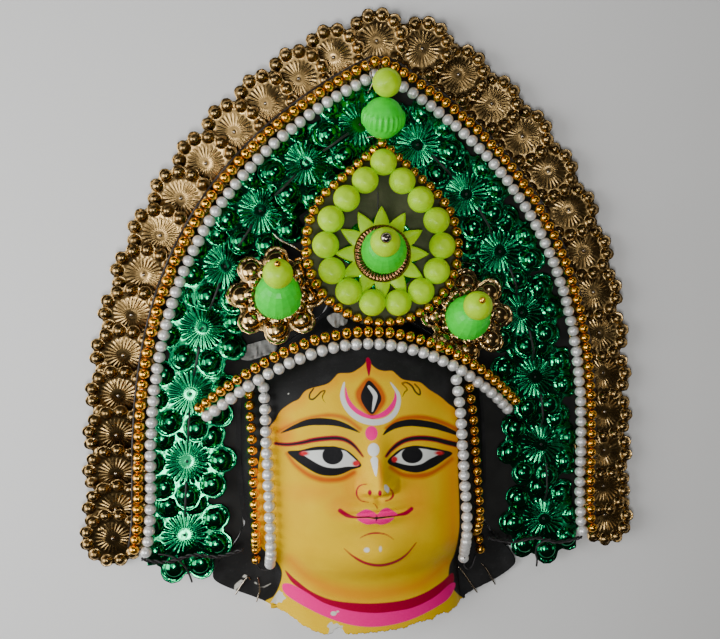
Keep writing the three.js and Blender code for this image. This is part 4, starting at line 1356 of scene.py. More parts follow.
@dataclass(frozen=True)
class Stamp:
    """The die of one kind of foil flower: domes around a ring of ribs."""

    lobes: int
    radius: float
    depth: float
    dome_at: float
    dome: float
    valley: float
    rib_from: float
    rib_to: float
    dome_in: float = 2.6
    ribs: int = 24
    rib: float = 0.6
    columns: int = 192
    rings: int = 34
    back_rings: int = 8
    thickness: float = 0.4
    floor: float = 0.7

    def reach(self, angle: Array) -> Array:
        """Radius of the cut edge: a round lobe outside each dome, a notch between them.

        Args:
            angle: Directions from the middle.

        Returns:
            The radius in each.
        """
        off = (angle * self.lobes / TURN + 0.5) % 1.0 - 0.5
        off *= TURN / self.lobes
        lobe = self.radius - self.dome_at
        inside = np.maximum(lobe**2 - (self.dome_at * np.sin(off)) ** 2, 0)
        edge = self.dome_at * np.cos(off) + np.sqrt(inside)
        notch = self.radius * self.valley
        return np.maximum(np.where(inside > 0, edge, 0), notch)

    def height(self, x: Array, y: Array) -> Array:
        """The stamped form: caps on the domes with a thin ring about them, ribs, and a low cone inside.

        Args:
            x: Places across.
            y: Places up.

        Returns:
            The height at each.
        """
        r = np.hypot(x, y)
        angle = np.arctan2(y, x)
        off = ((angle * self.lobes / TURN + 0.5) % 1.0 - 0.5) * TURN / self.lobes
        away = np.hypot(r * np.cos(off) - self.dome_at + self.dome_in, r * np.sin(off)) / self.dome
        cap = (self.depth - self.floor) * np.sqrt(np.maximum(1 - away**2, 0)) ** 0.9
        ring = 0.3 * np.exp(-(((away - 1.09) / 0.05) ** 2))
        window = smooth(r, self.rib_from, self.rib_from + 1.6) * (1 - smooth(r, self.rib_to - 2.2, self.rib_to))
        rib = self.rib * (0.5 + 0.5 * np.cos(angle * self.ribs)) ** 1.6 * window
        cone = 0.9 * (1 - smooth(r, 0, self.rib_to)) - 0.5 * np.exp(-((r / 1.1) ** 2))
        return self.floor + cap + ring + rib + cone

    def surface(self, seed: int, crumple: float) -> tuple[Array, Array, Array]:
        """The flower as a thin closed sheet, its middle at the origin.

        Args:
            seed: Seed of this flower's own dents and of its rim's wear.
            crumple: Depth of the dents.

        Returns:
            Points, quads and the middle's triangles.
        """
        rng = np.random.default_rng(seed)
        angle = np.arange(self.columns) / self.columns * TURN
        shares = np.interp(np.linspace(0, 1, self.rings), [0, 0.1, 0.34, 1], [0.03, 0.16, 0.5, 1])
        edge = self.reach(angle) / self.radius
        wear = 1 - 0.012 * np.abs(np.sin(angle * rng.integers(17, 29) + rng.uniform(0, TURN)))
        waves = []
        for way in rng.uniform(0, TURN, 4):
            ripple = TURN / rng.uniform(18, 46)
            waves.append((ripple * math.cos(way), ripple * math.sin(way), rng.uniform(0, TURN), rng.uniform(0.3, 1)))

        def sheet(share: Array, drop: float) -> Array:
            """Rings of the sheet at shares of the radius, lowered by drop.

            Args:
                share: Shares of the radius, one a ring.
                drop: How far it lies lower.

            Returns:
                The rings' points.
            """
            blend = smooth(share, 0.45, 1.0)[:, None]
            radius = self.radius * share[:, None] * (1 + (edge * wear - 1)[None, :] * blend)
            x, y = radius * np.cos(angle), radius * np.sin(angle)
            z = self.height(x, y) - drop
            for across, up, phase, size in waves:
                z = z + crumple * size * np.sin(across * x + up * y + phase)
            return np.stack([x, y, z], axis=-1).reshape(-1, 3)

        back = np.interp(np.linspace(0, 1, self.back_rings), [0, 1], [0.03, 1])[::-1]
        front, behind = sheet(shares, 0.0), sheet(back, self.thickness)
        tips = [front[: self.columns].mean(0), behind[-self.columns:].mean(0)]
        points = np.concatenate([front, behind, np.array(tips)])
        rows = self.rings + self.back_rings
        last = rows * self.columns
        caps = [
            fan(last, np.arange(self.columns)),
            fan(last + 1, np.arange(last - self.columns, last))[:, ::-1],
        ]
        return points, net(rows, self.columns, closed=True, flip=True), np.concatenate(caps)


GREEN_STAMP = Stamp(8, 34.0, 5.2, 25.6, 6.7, 0.8, 5.0, 15.0)
GOLD_STAMP = Stamp(8, 33.0, 5.2, 24.8, 6.7, 0.78, 5.0, 14.5, 2.2)
RIM_STAMP = Stamp(12, 22.5, 4.0, 18.2, 3.5, 0.88, 4.6, 12.6, 0.9, rib=0.45, columns=144, rings=24, back_rings=6)
SMALL_STAMP = Stamp(12, 21.5, 3.6, 17.6, 3.3, 0.88, 4.6, 12.0, 0.7, rib=0.5, columns=144, rings=24, back_rings=6)
MEDAL_STAMP = Stamp(8, 26.4, 3.6, 19.8, 5.4, 0.78, 5.0, 12.0, 1.5, columns=144, rings=26, back_rings=6)


@dataclass
class FoilCrown:
    """The crown's board, its rows of foil flowers, and what pins them."""

    bench: Bench
    arch: Arch
    face: FaceShell
    board_thickness: float = 3.0
    green_inset: float = 23.5
    green_bulge: float = 6.0
    green_first: float = 9.0
    green_last: Pair = (351.0, 327.0)
    green_count: tuple[int, int] = (8, 7)
    green_meet: float = 10.0
    rim_outset: float = 23.2
    rim_bulge: float = 8.0
    rim_last: Pair = (358.0, 360.0)
    rim_count: tuple[int, int] = (15, 14)
    rim_tip_drop: float = 1.0
    run: int = 3
    knot: Triple = (1.1, 1.1, 0.7)
    knot_lift: float = 0.6
    pin: Triple = (1.35, 1.35, 1.0)
    pin_lift: float = 0.9
    rim_seats: list[Seat] = field(default_factory=list)

    @property
    def green_pitch(self) -> float:
        """Distance between the left row's centres."""
        return (self.green_last[0] - self.green_first) / (self.green_count[0] - 1)

    @property
    def green_top(self) -> float:
        """Height of the highest point of the green flowers."""
        tilt = math.atan((GREEN_STAMP.depth + 4 * GAP) / self.green_pitch)
        return self.board_thickness + GAP + GREEN_STAMP.depth + 2 * GREEN_STAMP.radius * math.sin(tilt)

    def shingle(self, place: Array, heading: float, radius: float, tilt: float, spin: float) -> Seat:
        """A flower's seat on the board, tilted so that the next one lies over it like a roof tile.

        Args:
            place: Its middle on the board.
            heading: Direction of its row.
            radius: The flower's radius.
            tilt: Its tilt along the row.
            spin: Its turn about its own middle.

        Returns:
            The seat.
        """
        height = self.board_thickness + GAP + radius * math.sin(abs(tilt))
        turn = turned("z", heading) @ turned("y", tilt) @ turned("z", spin)
        return Seat(np.array([*place, height]), turn)

    def _trim(self, points: Array, quads: Array, side: int) -> tuple[Array, Array]:
        """Cuts a green flower along the pearls, the face and the line where both rows meet.

        Args:
            points: The flower's points.
            quads: Its quads.
            side: -1 left, 1 right.

        Returns:
            The points, pulled onto the cuts, and the quads that are left.
        """
        points, out_arch = self.arch.tuck(points, side)
        local = (points - self.face.seat.middle) @ self.face.seat.turn
        v = np.clip(local[:, 1], -self.face.neck, self.face.top)
        half = self.face.head_half(v) + 1.0
        in_face = (np.abs(local[:, 0]) < half) & (local[:, 1] < self.face.top) & (local[:, 1] > -self.face.neck)
        local[:, 0] = np.where(in_face, np.sign(local[:, 0]) * half, local[:, 0])
        points = self.face.seat.carry(local)
        line = self.green_meet + side * GAP / 2
        past = side * (points[:, 0] - line) < 0
        points[:, 0] = np.where(past, line, points[:, 0])
        cut = out_arch | in_face | past
        return points, quads[~cut[quads].all(1)]

    def green_flowers(self) -> list[Seat]:
        """Makes the green flowers in two rows, each upper one over the lower.

        Returns:
            Each flower's seat.
        """
        seats = []
        for side, count, last, bulge in (
            (-1, self.green_count[0], self.green_last[0], 0.0),
            (1, self.green_count[1], self.green_last[1], self.green_bulge),
        ):
            pitch = (last - self.green_first) / (count - 1)
            tilt = math.atan((GREEN_STAMP.depth + 4 * GAP) / pitch)
            for i in range(count):
                number = len(seats) + 1
                inset = self.green_inset + bulge * math.sin(math.pi * i / (count - 1)) ** 2
                place, heading = self.arch.along(self.green_first + pitch * i, -inset, side)
                seat = self.shingle(place, heading, GREEN_STAMP.radius, tilt, math.pi / 8 + number)
                points, quads, caps = GREEN_STAMP.surface(100 + number, 0.28)
                points, quads = self._trim(seat.carry(points), quads, side)
                piece = Piece(f"green_foil_flower_{number:02d}")
                piece.add(points, quads, caps)
                piece.finish(self.bench, Slot.GREEN_FOIL, f"green_flower_{number:02d}", cut=True)
                seats.append(seat)
        return seats

    def rim_places(self) -> list[tuple[Array, float]]:
        """Centres and headings of the rim flowers, going clockwise from the left foot.

        Returns:
            Each flower's middle and heading.
        """
        places = []
        for i in range(self.rim_count[0]):
            distance = self.rim_last[0] * i / (self.rim_count[0] - 1)
            places.append(self.arch.along(distance, self.rim_outset, -1))
        places.append((np.array([0.0, self.arch.tip[1] + self.rim_outset - self.rim_tip_drop]), 0.0))
        for i in reversed(range(self.rim_count[1])):
            share = i / (self.rim_count[1] - 1)
            outset = self.rim_outset + self.rim_bulge * float(smooth(np.array(share), 0.3, 0.75))
            place, heading = self.arch.along(self.rim_last[1] * share, outset, 1)
            places.append((place, heading + math.pi))
        return places

    def rim_flowers(self) -> None:
        """Makes the gold rim flowers, each over the one before it going clockwise, in stitched runs."""
        places = self.rim_places()
        gaps = [np.linalg.norm(b[0] - a[0]) for a, b in zip(places, places[1:])]
        tilt = -math.atan((RIM_STAMP.depth + 2 * GAP) / min(gaps))
        rng = np.random.default_rng(7)
        # A darker copy of the gold foil for the rim: painted shade that stands in for the rim flowers' dark
        # reflections.
        shaded_gold = FoilFinish("aged gold foil", (0.36, 0.235, 0.09), (0.2, 0.125, 0.045), 0.25).make()
        for first in range(0, len(places), self.run):
            number = first // self.run + 1
            piece = Piece(f"gold_foil_flowers_{number:02d}")
            for i, (place, heading) in enumerate(places[first:first + self.run]):
                seat = self.shingle(place, heading, RIM_STAMP.radius, tilt, first + i)
                loose = turned("x", rng.uniform(-0.07, 0.07)) @ turned("y", rng.uniform(-0.03, 0.05))
                seat = Seat(seat.middle, seat.turn @ loose)
                self.rim_seats.append(seat)
                points, quads, caps = RIM_STAMP.surface(300 + first + i, 0.4)
                points = seat.carry(points)
                points[:, 2] = np.maximum(points[:, 2], 0.3)
                piece.add(points, quads, caps)
            piece.finish(self.bench, Slot.GOLD_FOIL, f"rim_flowers_{number:02d}", material=shaded_gold)

    def pins(self, seats: list[Seat]) -> None:
        """Makes the dark knots in the green flowers, at their seats, and the pin heads in the rim flowers.

        Args:
            seats: The green flowers' seats.
        """
        knots = Piece("green_flower_knots")
        points, quads, caps = Beads(10, 6).template()
        for seat in seats:
            knots.add(seat.carry(points * self.knot + [0, 0, GREEN_STAMP.floor + self.knot_lift]), quads, caps)
        knots.finish(self.bench, Slot.WIRE)
        heads = Piece("rim_flower_pins")
        for seat in self.rim_seats:
            heads.add(seat.carry(points * self.pin + [0, 0, RIM_STAMP.floor + self.pin_lift]), quads, caps)
        heads.finish(self.bench, Slot.PIN)

    def board(self) -> None:
        """Gives the board and the medallion's card, whose own shapes are right, their finishes."""
        speckled = CardFinish("speckled card", (0.055, 0.06, 0.028), (0.12, 0.115, 0.065)).make()
        for node, material in (("crown_board", self.bench.finish[Slot.CARD]), ("medallion_card", speckled)):
            made = bpy.data.objects[node]
            made.data.materials.clear()
            made.data.materials.append(material)


@dataclass(frozen=True)
class Beads:
    """Strung beads: a unit bead with dimples where the thread goes in, set along a line."""

    columns: int = 20
    rows: int = 11

    def template(self) -> tuple[Array, Array, Array]:
        """One bead of radius 1 with its thread along z.

        Returns:
            Points, quads and the ends' triangles.
        """
        angle = np.linspace(0.12, math.pi - 0.12, self.rows)
        dimple = 1 - 0.1 * np.exp(-((np.sin(angle) / 0.25) ** 2))
        return lathe(np.stack([np.sin(angle), np.cos(angle) * dimple], axis=1), self.columns)

    def string(
        self, piece: Piece, places: Array, ahead: Array, radius: Array | float, length: float = 1.0, seed: int = 1
    ) -> None:
        """Adds beads at places, each turned along the thread and a little off true.

        Args:
            piece: The piece that takes them.
            places: Bead middles.
            ahead: The thread's direction at each.
            radius: Radius of all, or of each.
            length: Bead length along the thread over its width.
            seed: Seed of the small differences.
        """
        rng = np.random.default_rng(seed)
        points, quads, caps = self.template()
        wobble = rng.normal(0, 0.05, ahead.shape)
        z = ahead + wobble
        z /= np.linalg.norm(z, axis=1)[:, None]
        x = np.cross(z, [0.1, 0.2, 1.0])
        x /= np.linalg.norm(x, axis=1)[:, None]
        y = np.cross(z, x)
        size = np.broadcast_to(radius, len(places)) * rng.uniform(0.97, 1.02, len(places))
        spots = places + rng.normal(0, 0.12, places.shape)
        local = points * [1, 1, length]
        frames = np.stack([x, y, z], axis=1) * size[:, None, None]
        for spot, frame in zip(spots, frames):
            piece.add(spot + local @ frame, quads, caps)


@dataclass
class Strands:
    """The arch's strands, the brow arch and the strings down the face."""

    bench: Bench
    arch: Arch
    face: FaceShell
    base: float
    pearl: float = 4.0
    gilt: float = 3.65
    pitch: float = 7.5
    rim_pitch: Pair = (7.35, 7.0)
    rim_length: Pair = (0.93, 0.92)
    brow_pitch: Pair = (7.5, 7.1)
    brow_length: Pair = (0.95, 0.92)
    string_pitch: float = 7.2
    string_length: float = 0.95
    squeeze: float = 0.97
    brow_middle: Pair = (-10.0, -17.5)
    brow_half: float = 103.0
    brow_drop: float = 50.0
    brow_end_lift: float = 9.0
    strings: dict[str, tuple[Pair, Pair, float]] = field(
        default_factory=lambda: {
            "left": ((-69.5, -70.5), (-78.5, -79.5), -60.0), "right": ((57.5, 63.0), (67.5, 76.0), -69.0)
        }
    )
    sway: dict[str, float] = field(default_factory=lambda: {"pearls": 2.5, "gilt": 5.5})
    beads: Beads = field(default_factory=Beads)

    def rim(self) -> None:
        """Makes the pearl strand along the arch and the gilt strand outside it."""
        height = self.base + self.pearl + GAP
        pearls = Piece("pearl_strand")
        line = self.arch.line(0, height)
        self.beads.string(pearls, *spaced(line, self.rim_pitch[0]), self.pearl, self.rim_length[0], 11)
        pearls.finish(self.bench, Slot.PEARL, "rim_pearls")
        gilts = Piece("gilt_strand")
        line = self.arch.line(self.pitch + GAP, height)
        self.beads.string(gilts, *spaced(line, self.rim_pitch[1]), self.gilt, self.rim_length[1], 12)
        gilts.finish(self.bench, Slot.GILT, "rim_gilt_beads")

    def brow_line(self, raise_: float) -> Array:
        """The brow arch: a parabola that dips towards its ends, offset square to itself.

        Args:
            raise_: How far it is offset up.

        Returns:
            Points along it.
        """
        flat = self.pearl * math.sqrt(0.5)
        crown = np.array([[self.brow_middle[0], self.brow_middle[1] - flat, 0.0]])
        local = (crown - self.face.seat.middle) @ self.face.seat.turn
        middle = float(self.face.skin(local[:, 0], local[:, 1])[0]) + flat + 2 * GAP
        share = np.linspace(-1, 1, 161)
        slope = 2 * self.brow_drop * share / self.brow_half
        lean = np.hypot(1, slope)
        z = middle + (self.base + self.brow_end_lift - middle) * share**4
        x = self.brow_middle[0] + self.brow_half * share + raise_ * slope / lean
        y = self.brow_middle[1] - self.brow_drop * share**2 + raise_ / lean
        return np.stack([x, y, z], axis=1)

    def brow(self) -> None:
        """Makes the brow's pearls and the gilt beads above them."""
        pearls = Piece("brow_pearl_strand")
        line = self.brow_line(0)
        self.beads.string(pearls, *spaced(line, self.brow_pitch[0]), self.pearl, self.brow_length[0], 21)
        pearls.finish(self.bench, Slot.PEARL, "brow_pearls")
        gilts = Piece("brow_gilt_strand")
        line = self.brow_line(self.pitch + GAP)
        self.beads.string(gilts, *spaced(line, self.brow_pitch[1]), self.gilt, self.brow_length[1], 22)
        gilts.finish(self.bench, Slot.GILT, "brow_gilt_beads")

    def _top(self, u: float, radius: float) -> float:
        """Height at which a string starts, just under the brow arch, found in three passes.

        Args:
            u: The string's place across.
            radius: Its beads' radius.

        Returns:
            The height on the face.
        """
        v = 0.0
        for _ in range(3):
            x = float(self.face.seat.carry(np.array([[u, v, 0.0]]))[0, 0])
            share = (x - self.brow_middle[0]) / self.brow_half
            slope = 2 * self.brow_drop * abs(share) / self.brow_half
            drop = (self.pearl + GAP) * math.hypot(1, slope) + radius * slope + 1
            y = self.brow_middle[1] - self.brow_drop * share * share - drop
            local = (np.array([x, y, 0.0]) - self.face.seat.middle) @ self.face.seat.turn
            v = float(local[1])
        return v

    def _hang(self, at: Pair, end: float, radius: float, sway: float) -> Array:
        """A string's line down the skin, from just under the brow arch to its foot.

        Args:
            at: Places across at its top and foot.
            end: Height of its foot.
            radius: Its beads' radius.
            sway: How far its foot swings outwards.

        Returns:
            Points along it.
        """
        share = np.linspace(0, 1, 80)
        u = at[0] + (at[1] - at[0]) * share
        start = self._top(at[0], radius)
        v = start + (end - start) * share
        u = u + sway * smooth(-v, 46, 64)
        near = [self.face.skin(np.abs(u) + step, v) for step in (-radius, 0, radius)]
        z = np.max(near, axis=0) + radius + 3 * GAP
        return self.face.seat.carry(np.stack([u, v, z], axis=1))

    def sides(self) -> None:
        """Makes the strings of pearls and gilt beads down both sides, their pitch closing at the foot."""
        for name, (pearls, gilts, end) in self.strings.items():
            for at, radius, kind, slot in (
                (pearls, self.pearl, "pearls", Slot.PEARL), (gilts, self.gilt, "gilt", Slot.GILT)
            ):
                piece = Piece(f"hanging_{kind}_{name}")
                sway = self.sway[kind] if name == "right" else 0.0
                places, ahead = spaced(self._hang(at, end, radius, sway), self.string_pitch)
                self.beads.string(piece, places, ahead, radius * self.squeeze, self.string_length, 30 + len(name))
                piece.finish(self.bench, slot, f"string_{kind}_{name}")


@dataclass(frozen=True)
class CutBead:
    """A moulded plastic bead with broad low facets, round at the top, and a finely toothed foot."""

    radius: float = 14.8
    height: float = 25.0
    facets: int = 18
    teeth: int = 3
    foot: float = 0.8

    def parts(self) -> tuple[Array, Array, Array]:
        """Facets: the circle is drawn in to flat sides; near the foot the edge is toothed.

        Returns:
            Points, quads and the ends' triangles.
        """
        columns = self.facets * self.teeth * 2
        angle = np.arange(columns) / columns * TURN
        off = ((angle * self.facets / TURN) % 1.0 - 0.5) * TURN / self.facets
        flat = math.cos(math.pi / self.facets) / np.cos(off)
        tooth = np.where(np.arange(columns) % 2, 1.0, -1.0)
        profile = np.array([
            [0.1, 1.0], [0.3, 0.985], [0.5, 0.935], [0.68, 0.85], [0.82, 0.72], [0.92, 0.57], [0.98, 0.42],
            [1.0, 0.3], [0.99, 0.17], [0.93, 0.07], [self.foot, 0.0],
        ])
        points, quads, caps = lathe(profile * [self.radius, self.height], columns)
        body = points[: len(profile) * columns].reshape(len(profile), columns, 3)
        bite = 1 + 0.022 * tooth[None, :] * smooth(0.3 - profile[:, 1], 0.0, 0.2)[:, None]
        body[..., :2] *= (flat[None, :] * bite)[..., None]
        points[: len(profile) * columns] = body.reshape(-1, 3)
        return points, quads, caps


@dataclass
class Ornaments:
    """Medallion, rosettes and finial."""

    bench: Bench
    base: float
    gilt: float = 3.65
    ball: float = 8.75
    top_ball: float = 9.3
    card: float = 1.5
    medal_middle: Triple = (1.6, 44.8, 28.6)
    medal_tilt: float = math.radians(-8.5)
    medal_drop: Pair = (51.0, 68.0)
    ball_drop: Pair = (38.8, 54.4)
    ball_count: int = 15
    gilt_pitch: float = 7.1
    pin: float = 3.4
    washer_at: float = 6.3
    washer: Triple = (19.0, 9.0, 2.0)
    star_at: float = 3.95
    star: Triple = (31.5, 20.0, 2.0)
    star_drop: float = 5.5
    star_shift: float = -1.0
    rosette_height: float = 27.0
    rosette_tilt: float = math.radians(-12)
    small_flower_at: float = 5.55
    rosette_bead_at: float = 9.5
    small_pin: float = 2.1
    small_pin_lift: float = 2.0
    medal_lean: Pair = (5.5, -9.0)
    rosettes_at: dict[str, tuple[Pair, Pair, Pair]] = field(
        default_factory=lambda: {
            "left": ((-67.9, 12.2), (24.0, -4.0), (0.0, -6.0)), "right": ((61.5, -2.0), (11.0, -2.0), (-4.0, -4.5))
        }
    )
    finial_middle: Pair = (0.8, 128.6)
    finial_lean: float = math.radians(26)
    finial_bead: float = 14.0
    beads: Beads = field(default_factory=lambda: Beads(20, 11))

    @staticmethod
    def drop(radius: float, tip: float, count: int) -> Array:
        """A circle drawn out to a tip by its two tangents, as points spaced evenly from the tip."""
        half = math.acos(radius / tip)
        straight = math.sqrt(tip * tip - radius * radius)
        arc = 2 * (math.pi - half) * radius
        total = arc + 2 * straight
        run = np.arange(count) / count * total
        touch = np.array([math.sin(half), math.cos(half)]) * radius
        top = np.array([0.0, tip])
        angle = half + (run - straight) / radius
        round_ = np.stack([np.sin(angle), np.cos(angle)], axis=1) * radius
        first = top + (touch - top) * (run / straight)[:, None]
        touch_back = touch * [-1, 1]
        last = touch_back + (top - touch_back) * ((run - straight - arc) / straight)[:, None]
        return np.where((run < straight)[:, None], first, np.where((run > straight + arc)[:, None], last, round_))

    @staticmethod
    def _sphere(piece: Piece, seat: Seat, radius: float, at: Sequence[float]) -> None:
        """Adds one smooth ball."""
        points, quads, caps = Beads(36, 20).template()
        piece.add(seat.carry(points * radius + np.array(at, float)), quads, caps)

    @staticmethod
    def leaning(seat: Seat, height: float, lean: Pair, slip: Pair) -> Seat:
        """The seat of a bead that leans on its foot's edge.

        Args:
            seat: What it stands on.
            height: Height of the foot.
            lean: Degrees up the crown and to the right.
            slip: How far the foot has slipped.

        Returns:
            The bead's own seat.
        """
        up, right = (math.radians(angle) for angle in lean)
        rise = CutBead.foot * CutBead.radius * math.sin(math.acos(math.cos(up) * math.cos(right)))
        return seat.inner((*slip, height + rise), turned("x", -up) @ turned("y", right))

    def medallion(self) -> None:
        """Makes the drop-shaped medallion: gilt edge, balls, foil flower, star, washer, bead and pin."""
        seat = Seat(np.array(self.medal_middle), turned("x", self.medal_tilt))
        on_card = self.card + GAP
        edge = self.drop(*self.medal_drop, 400)
        line = np.column_stack([edge, np.full(400, on_card + self.gilt)])
        places, ahead = spaced(np.concatenate([line, line[:1]]), self.gilt_pitch, closed=True)
        gilt = Piece("medallion_gilt_edge")
        self.beads.string(gilt, seat.carry(places), ahead @ seat.turn.T, self.gilt, 0.92, seed=41)
        gilt.finish(self.bench, Slot.GILT, "medallion_gilt_beads")
        balls = Piece("medallion_ball_ring")
        for x, y in self.drop(*self.ball_drop, self.ball_count):
            self._sphere(balls, seat, self.ball, (x, y, on_card + self.ball))
        balls.finish(self.bench, Slot.LIME, "medallion_balls")
        middle = seat.inner((self.star_shift, -self.star_drop, on_card))
        flower = Piece("medallion_foil_flower")
        points, quads, caps = MEDAL_STAMP.surface(500, 0.2)
        flower.add(middle.carry(points), quads, caps)
        flower.finish(self.bench, Slot.GREEN_FOIL, "medallion_flower")
        self._star(middle)
        self._washer(middle)
        stand = self.leaning(middle, self.washer_at + self.washer[2] + GAP, self.medal_lean, (0.0, 0.0))
        ball_at = self._bead_and_ball(stand, "medallion", ("medallion_bead", "medallion_top_ball"))
        pin = Piece("medallion_pin_bead")
        self._sphere(pin, stand, self.pin, (0, 0, ball_at + self.top_ball + GAP + self.pin))
        pin.finish(self.bench, Slot.PIN, "medallion_pin")

    def _bead_and_ball(self, stand: Seat, name: str, nodes: tuple[str, str]) -> float:
        """Makes a cut bead and the ball on it.

        Args:
            stand: The bead's seat.
            name: Start of the pieces' names.
            nodes: The CAD nodes of bead and ball.

        Returns:
            Height of the ball's middle over the bead's foot.
        """
        bead = Piece(f"{name}_cut_bead")
        points, quads, caps = CutBead().parts()
        bead.add(stand.carry(points), quads, caps)
        bead.finish(self.bench, Slot.GREEN, nodes[0], flat=True)
        ball_at = CutBead.height + GAP + self.top_ball
        ball = Piece(f"{name}_round_bead")
        self._sphere(ball, stand, self.top_ball, (0, 0, ball_at))
        ball.finish(self.bench, Slot.LIME, nodes[1])
        return ball_at

    def _star(self, seat: Seat) -> None:
        """The plastic star: each point is a leaf with a raised middle.

        Args:
            seat: The medallion's middle.
        """
        tips, (outer, inner, thickness) = 12, self.star
        columns = tips * 12
        angle = np.arange(columns) / columns * TURN
        off = np.abs((angle * tips / TURN + 0.5) % 1.0 - 0.5) * 2
        reach = inner + (outer - inner) * (1 - off**1.25) * (1 - 0.12 * np.sin(np.pi * off))
        shares = np.array([0.3, 0.55, 0.75, 0.9, 1.0])
        crown = 1 - 0.5 * off[None, :] * smooth(shares, 0.4, 1.0)[:, None]
        rings = []
        for share, lift in zip(shares, crown):
            rings.append(np.stack([
                share * reach * np.sin(angle), share * reach * np.cos(angle), thickness * lift * (1.3 - 0.5 * share)
            ], axis=1))
        for share in (1.0, 0.3):
            rings.append(np.stack([share * reach * np.sin(angle), share * reach * np.cos(angle), 0 * angle], axis=1))
        points = np.concatenate(rings)
        last = len(points)
        points = np.concatenate([points, [[0, 0, thickness], [0, 0, 0]]])
        caps = np.concatenate([
            fan(last, np.arange(columns))[:, ::-1], fan(last + 1, np.arange(last - columns, last))
        ])
        star = Piece("medallion_leaf_star")
        star.add(seat.carry(points + [0, 0, self.star_at]), net(len(rings), columns, closed=True), caps)
        star.finish(self.bench, Slot.LIME, "medallion_star")

    def _washer(self, seat: Seat) -> None:
        """The ribbed gilt washer: a flat ring whose top is fluted all round.

        Args:
            seat: The medallion's middle.
        """
        flutes, (outer, hole, thickness) = 46, self.washer
        columns = flutes * 6
        angle = np.arange(columns) / columns * TURN
        wave = 0.5 + 0.5 * np.cos(angle * flutes)
        profile = ((hole, 0.0, 0), (outer, 0.0, 0), (outer, 1.0, 1), (outer - 1.2, thickness, 1), (15.4, thickness, 1),
                   (14.6, thickness - 0.4, 0), (hole, thickness - 0.4, 0))
        rings = [
            np.stack([r * np.cos(angle), r * np.sin(angle), z - 0.6 * fluted * (1 - wave)], axis=1)
            for r, z, fluted in profile
        ]
        points = np.concatenate(rings)
        quads = net(len(profile), columns, closed=True)
        first, last = np.arange(columns), np.arange(len(points) - columns, len(points))
        close = np.stack([last, np.roll(last, -1), np.roll(first, -1), first], axis=1)
        washer = Piece("medallion_fluted_washer")
        washer.add(seat.carry(points + [0, 0, self.washer_at]), quads, close)
        bronze = BeadFinish("bronze", (0.36, 0.17, 0.07), (0.2, 0.085, 0.035), 1.0, 0.2).make()
        washer.finish(self.bench, Slot.GILT, "medallion_washer", material=bronze)

    def rosettes(self) -> None:
        """Makes a large and a small gold flower, a cut bead and a ball on each side of the medallion."""
        for seed, (name, (place, lean, slip)) in enumerate(self.rosettes_at.items()):
            seat = Seat(np.array([*place, self.rosette_height]), turned("x", self.rosette_tilt))
            for stamp, at, label, node in (
                (GOLD_STAMP, 0.0, "gold_flower", "rosette_flower"),
                (SMALL_STAMP, self.small_flower_at, "small_gold_flower", "rosette_small_flower"),
            ):
                flower = Piece(f"rosette_{label}_{name}")
                points, quads, caps = stamp.surface(600 + seed * 2 + int(at), 0.25)
                flower.add(seat.carry(points + [0, 0, at]), quads, caps)
                flower.finish(self.bench, Slot.GOLD_FOIL, f"{node}_{name}")
            stand = self.leaning(seat, self.rosette_bead_at, lean, slip)
            nodes = (f"rosette_bead_{name}", f"rosette_ball_{name}")
            ball_at = self._bead_and_ball(stand, f"rosette_{name}", nodes)
            pin = Piece(f"rosette_{name}_pin_bead")
            self._sphere(pin, stand, self.small_pin, (0, 0, ball_at + self.top_ball + self.small_pin_lift))
            pin.finish(self.bench, Slot.GILT)

    def finial(self) -> None:
        """Makes the banded green bead and the ball above it."""
        radius = self.finial_bead
        spot = np.array([*self.finial_middle, self.base + radius + GAP])
        seat = Seat(spot, turned("x", self.finial_lean))
        upright = Seat(seat.middle, seat.turn @ turned("x", -math.pi / 2))
        flutes, rows = 24, 31
        columns = flutes * 6
        angle = np.arange(columns) / columns * TURN
        polar = np.linspace(0.1, math.pi - 0.1, rows)
        band = (smooth(polar, 1.18, 1.24) * (1 - smooth(polar, 1.86, 1.92)))[:, None]
        tooth = smooth(0.5 + 0.5 * np.cos(angle * flutes), 0.35, 0.65)[None, :]
        r = radius * (1 - 0.035 + 0.075 * band * tooth)
        points = np.stack([
            r * np.sin(polar)[:, None] * np.cos(angle), r * np.sin(polar)[:, None] * np.sin(angle),
            r * np.cos(polar)[:, None] + 0 * angle,
        ], axis=-1).reshape(-1, 3)
        last = len(points)
        points = np.concatenate([points, [[0, 0, radius * 0.965], [0, 0, -radius * 0.965]]])
        caps = np.concatenate([fan(last, np.arange(columns)), fan(last + 1, np.arange(last - columns, last))[:, ::-1]])
        bead = Piece("finial_banded_bead")
        bead.add(upright.carry(points), net(rows, columns, closed=True, flip=True), caps)
        bead.finish(self.bench, Slot.GREEN, "finial_bead")
        ball = Piece("finial_round_bead")
        self._sphere(ball, seat, self.top_ball, (0, radius + self.top_ball + GAP, 0))
        ball.finish(self.bench, Slot.LIME, "finial_ball")


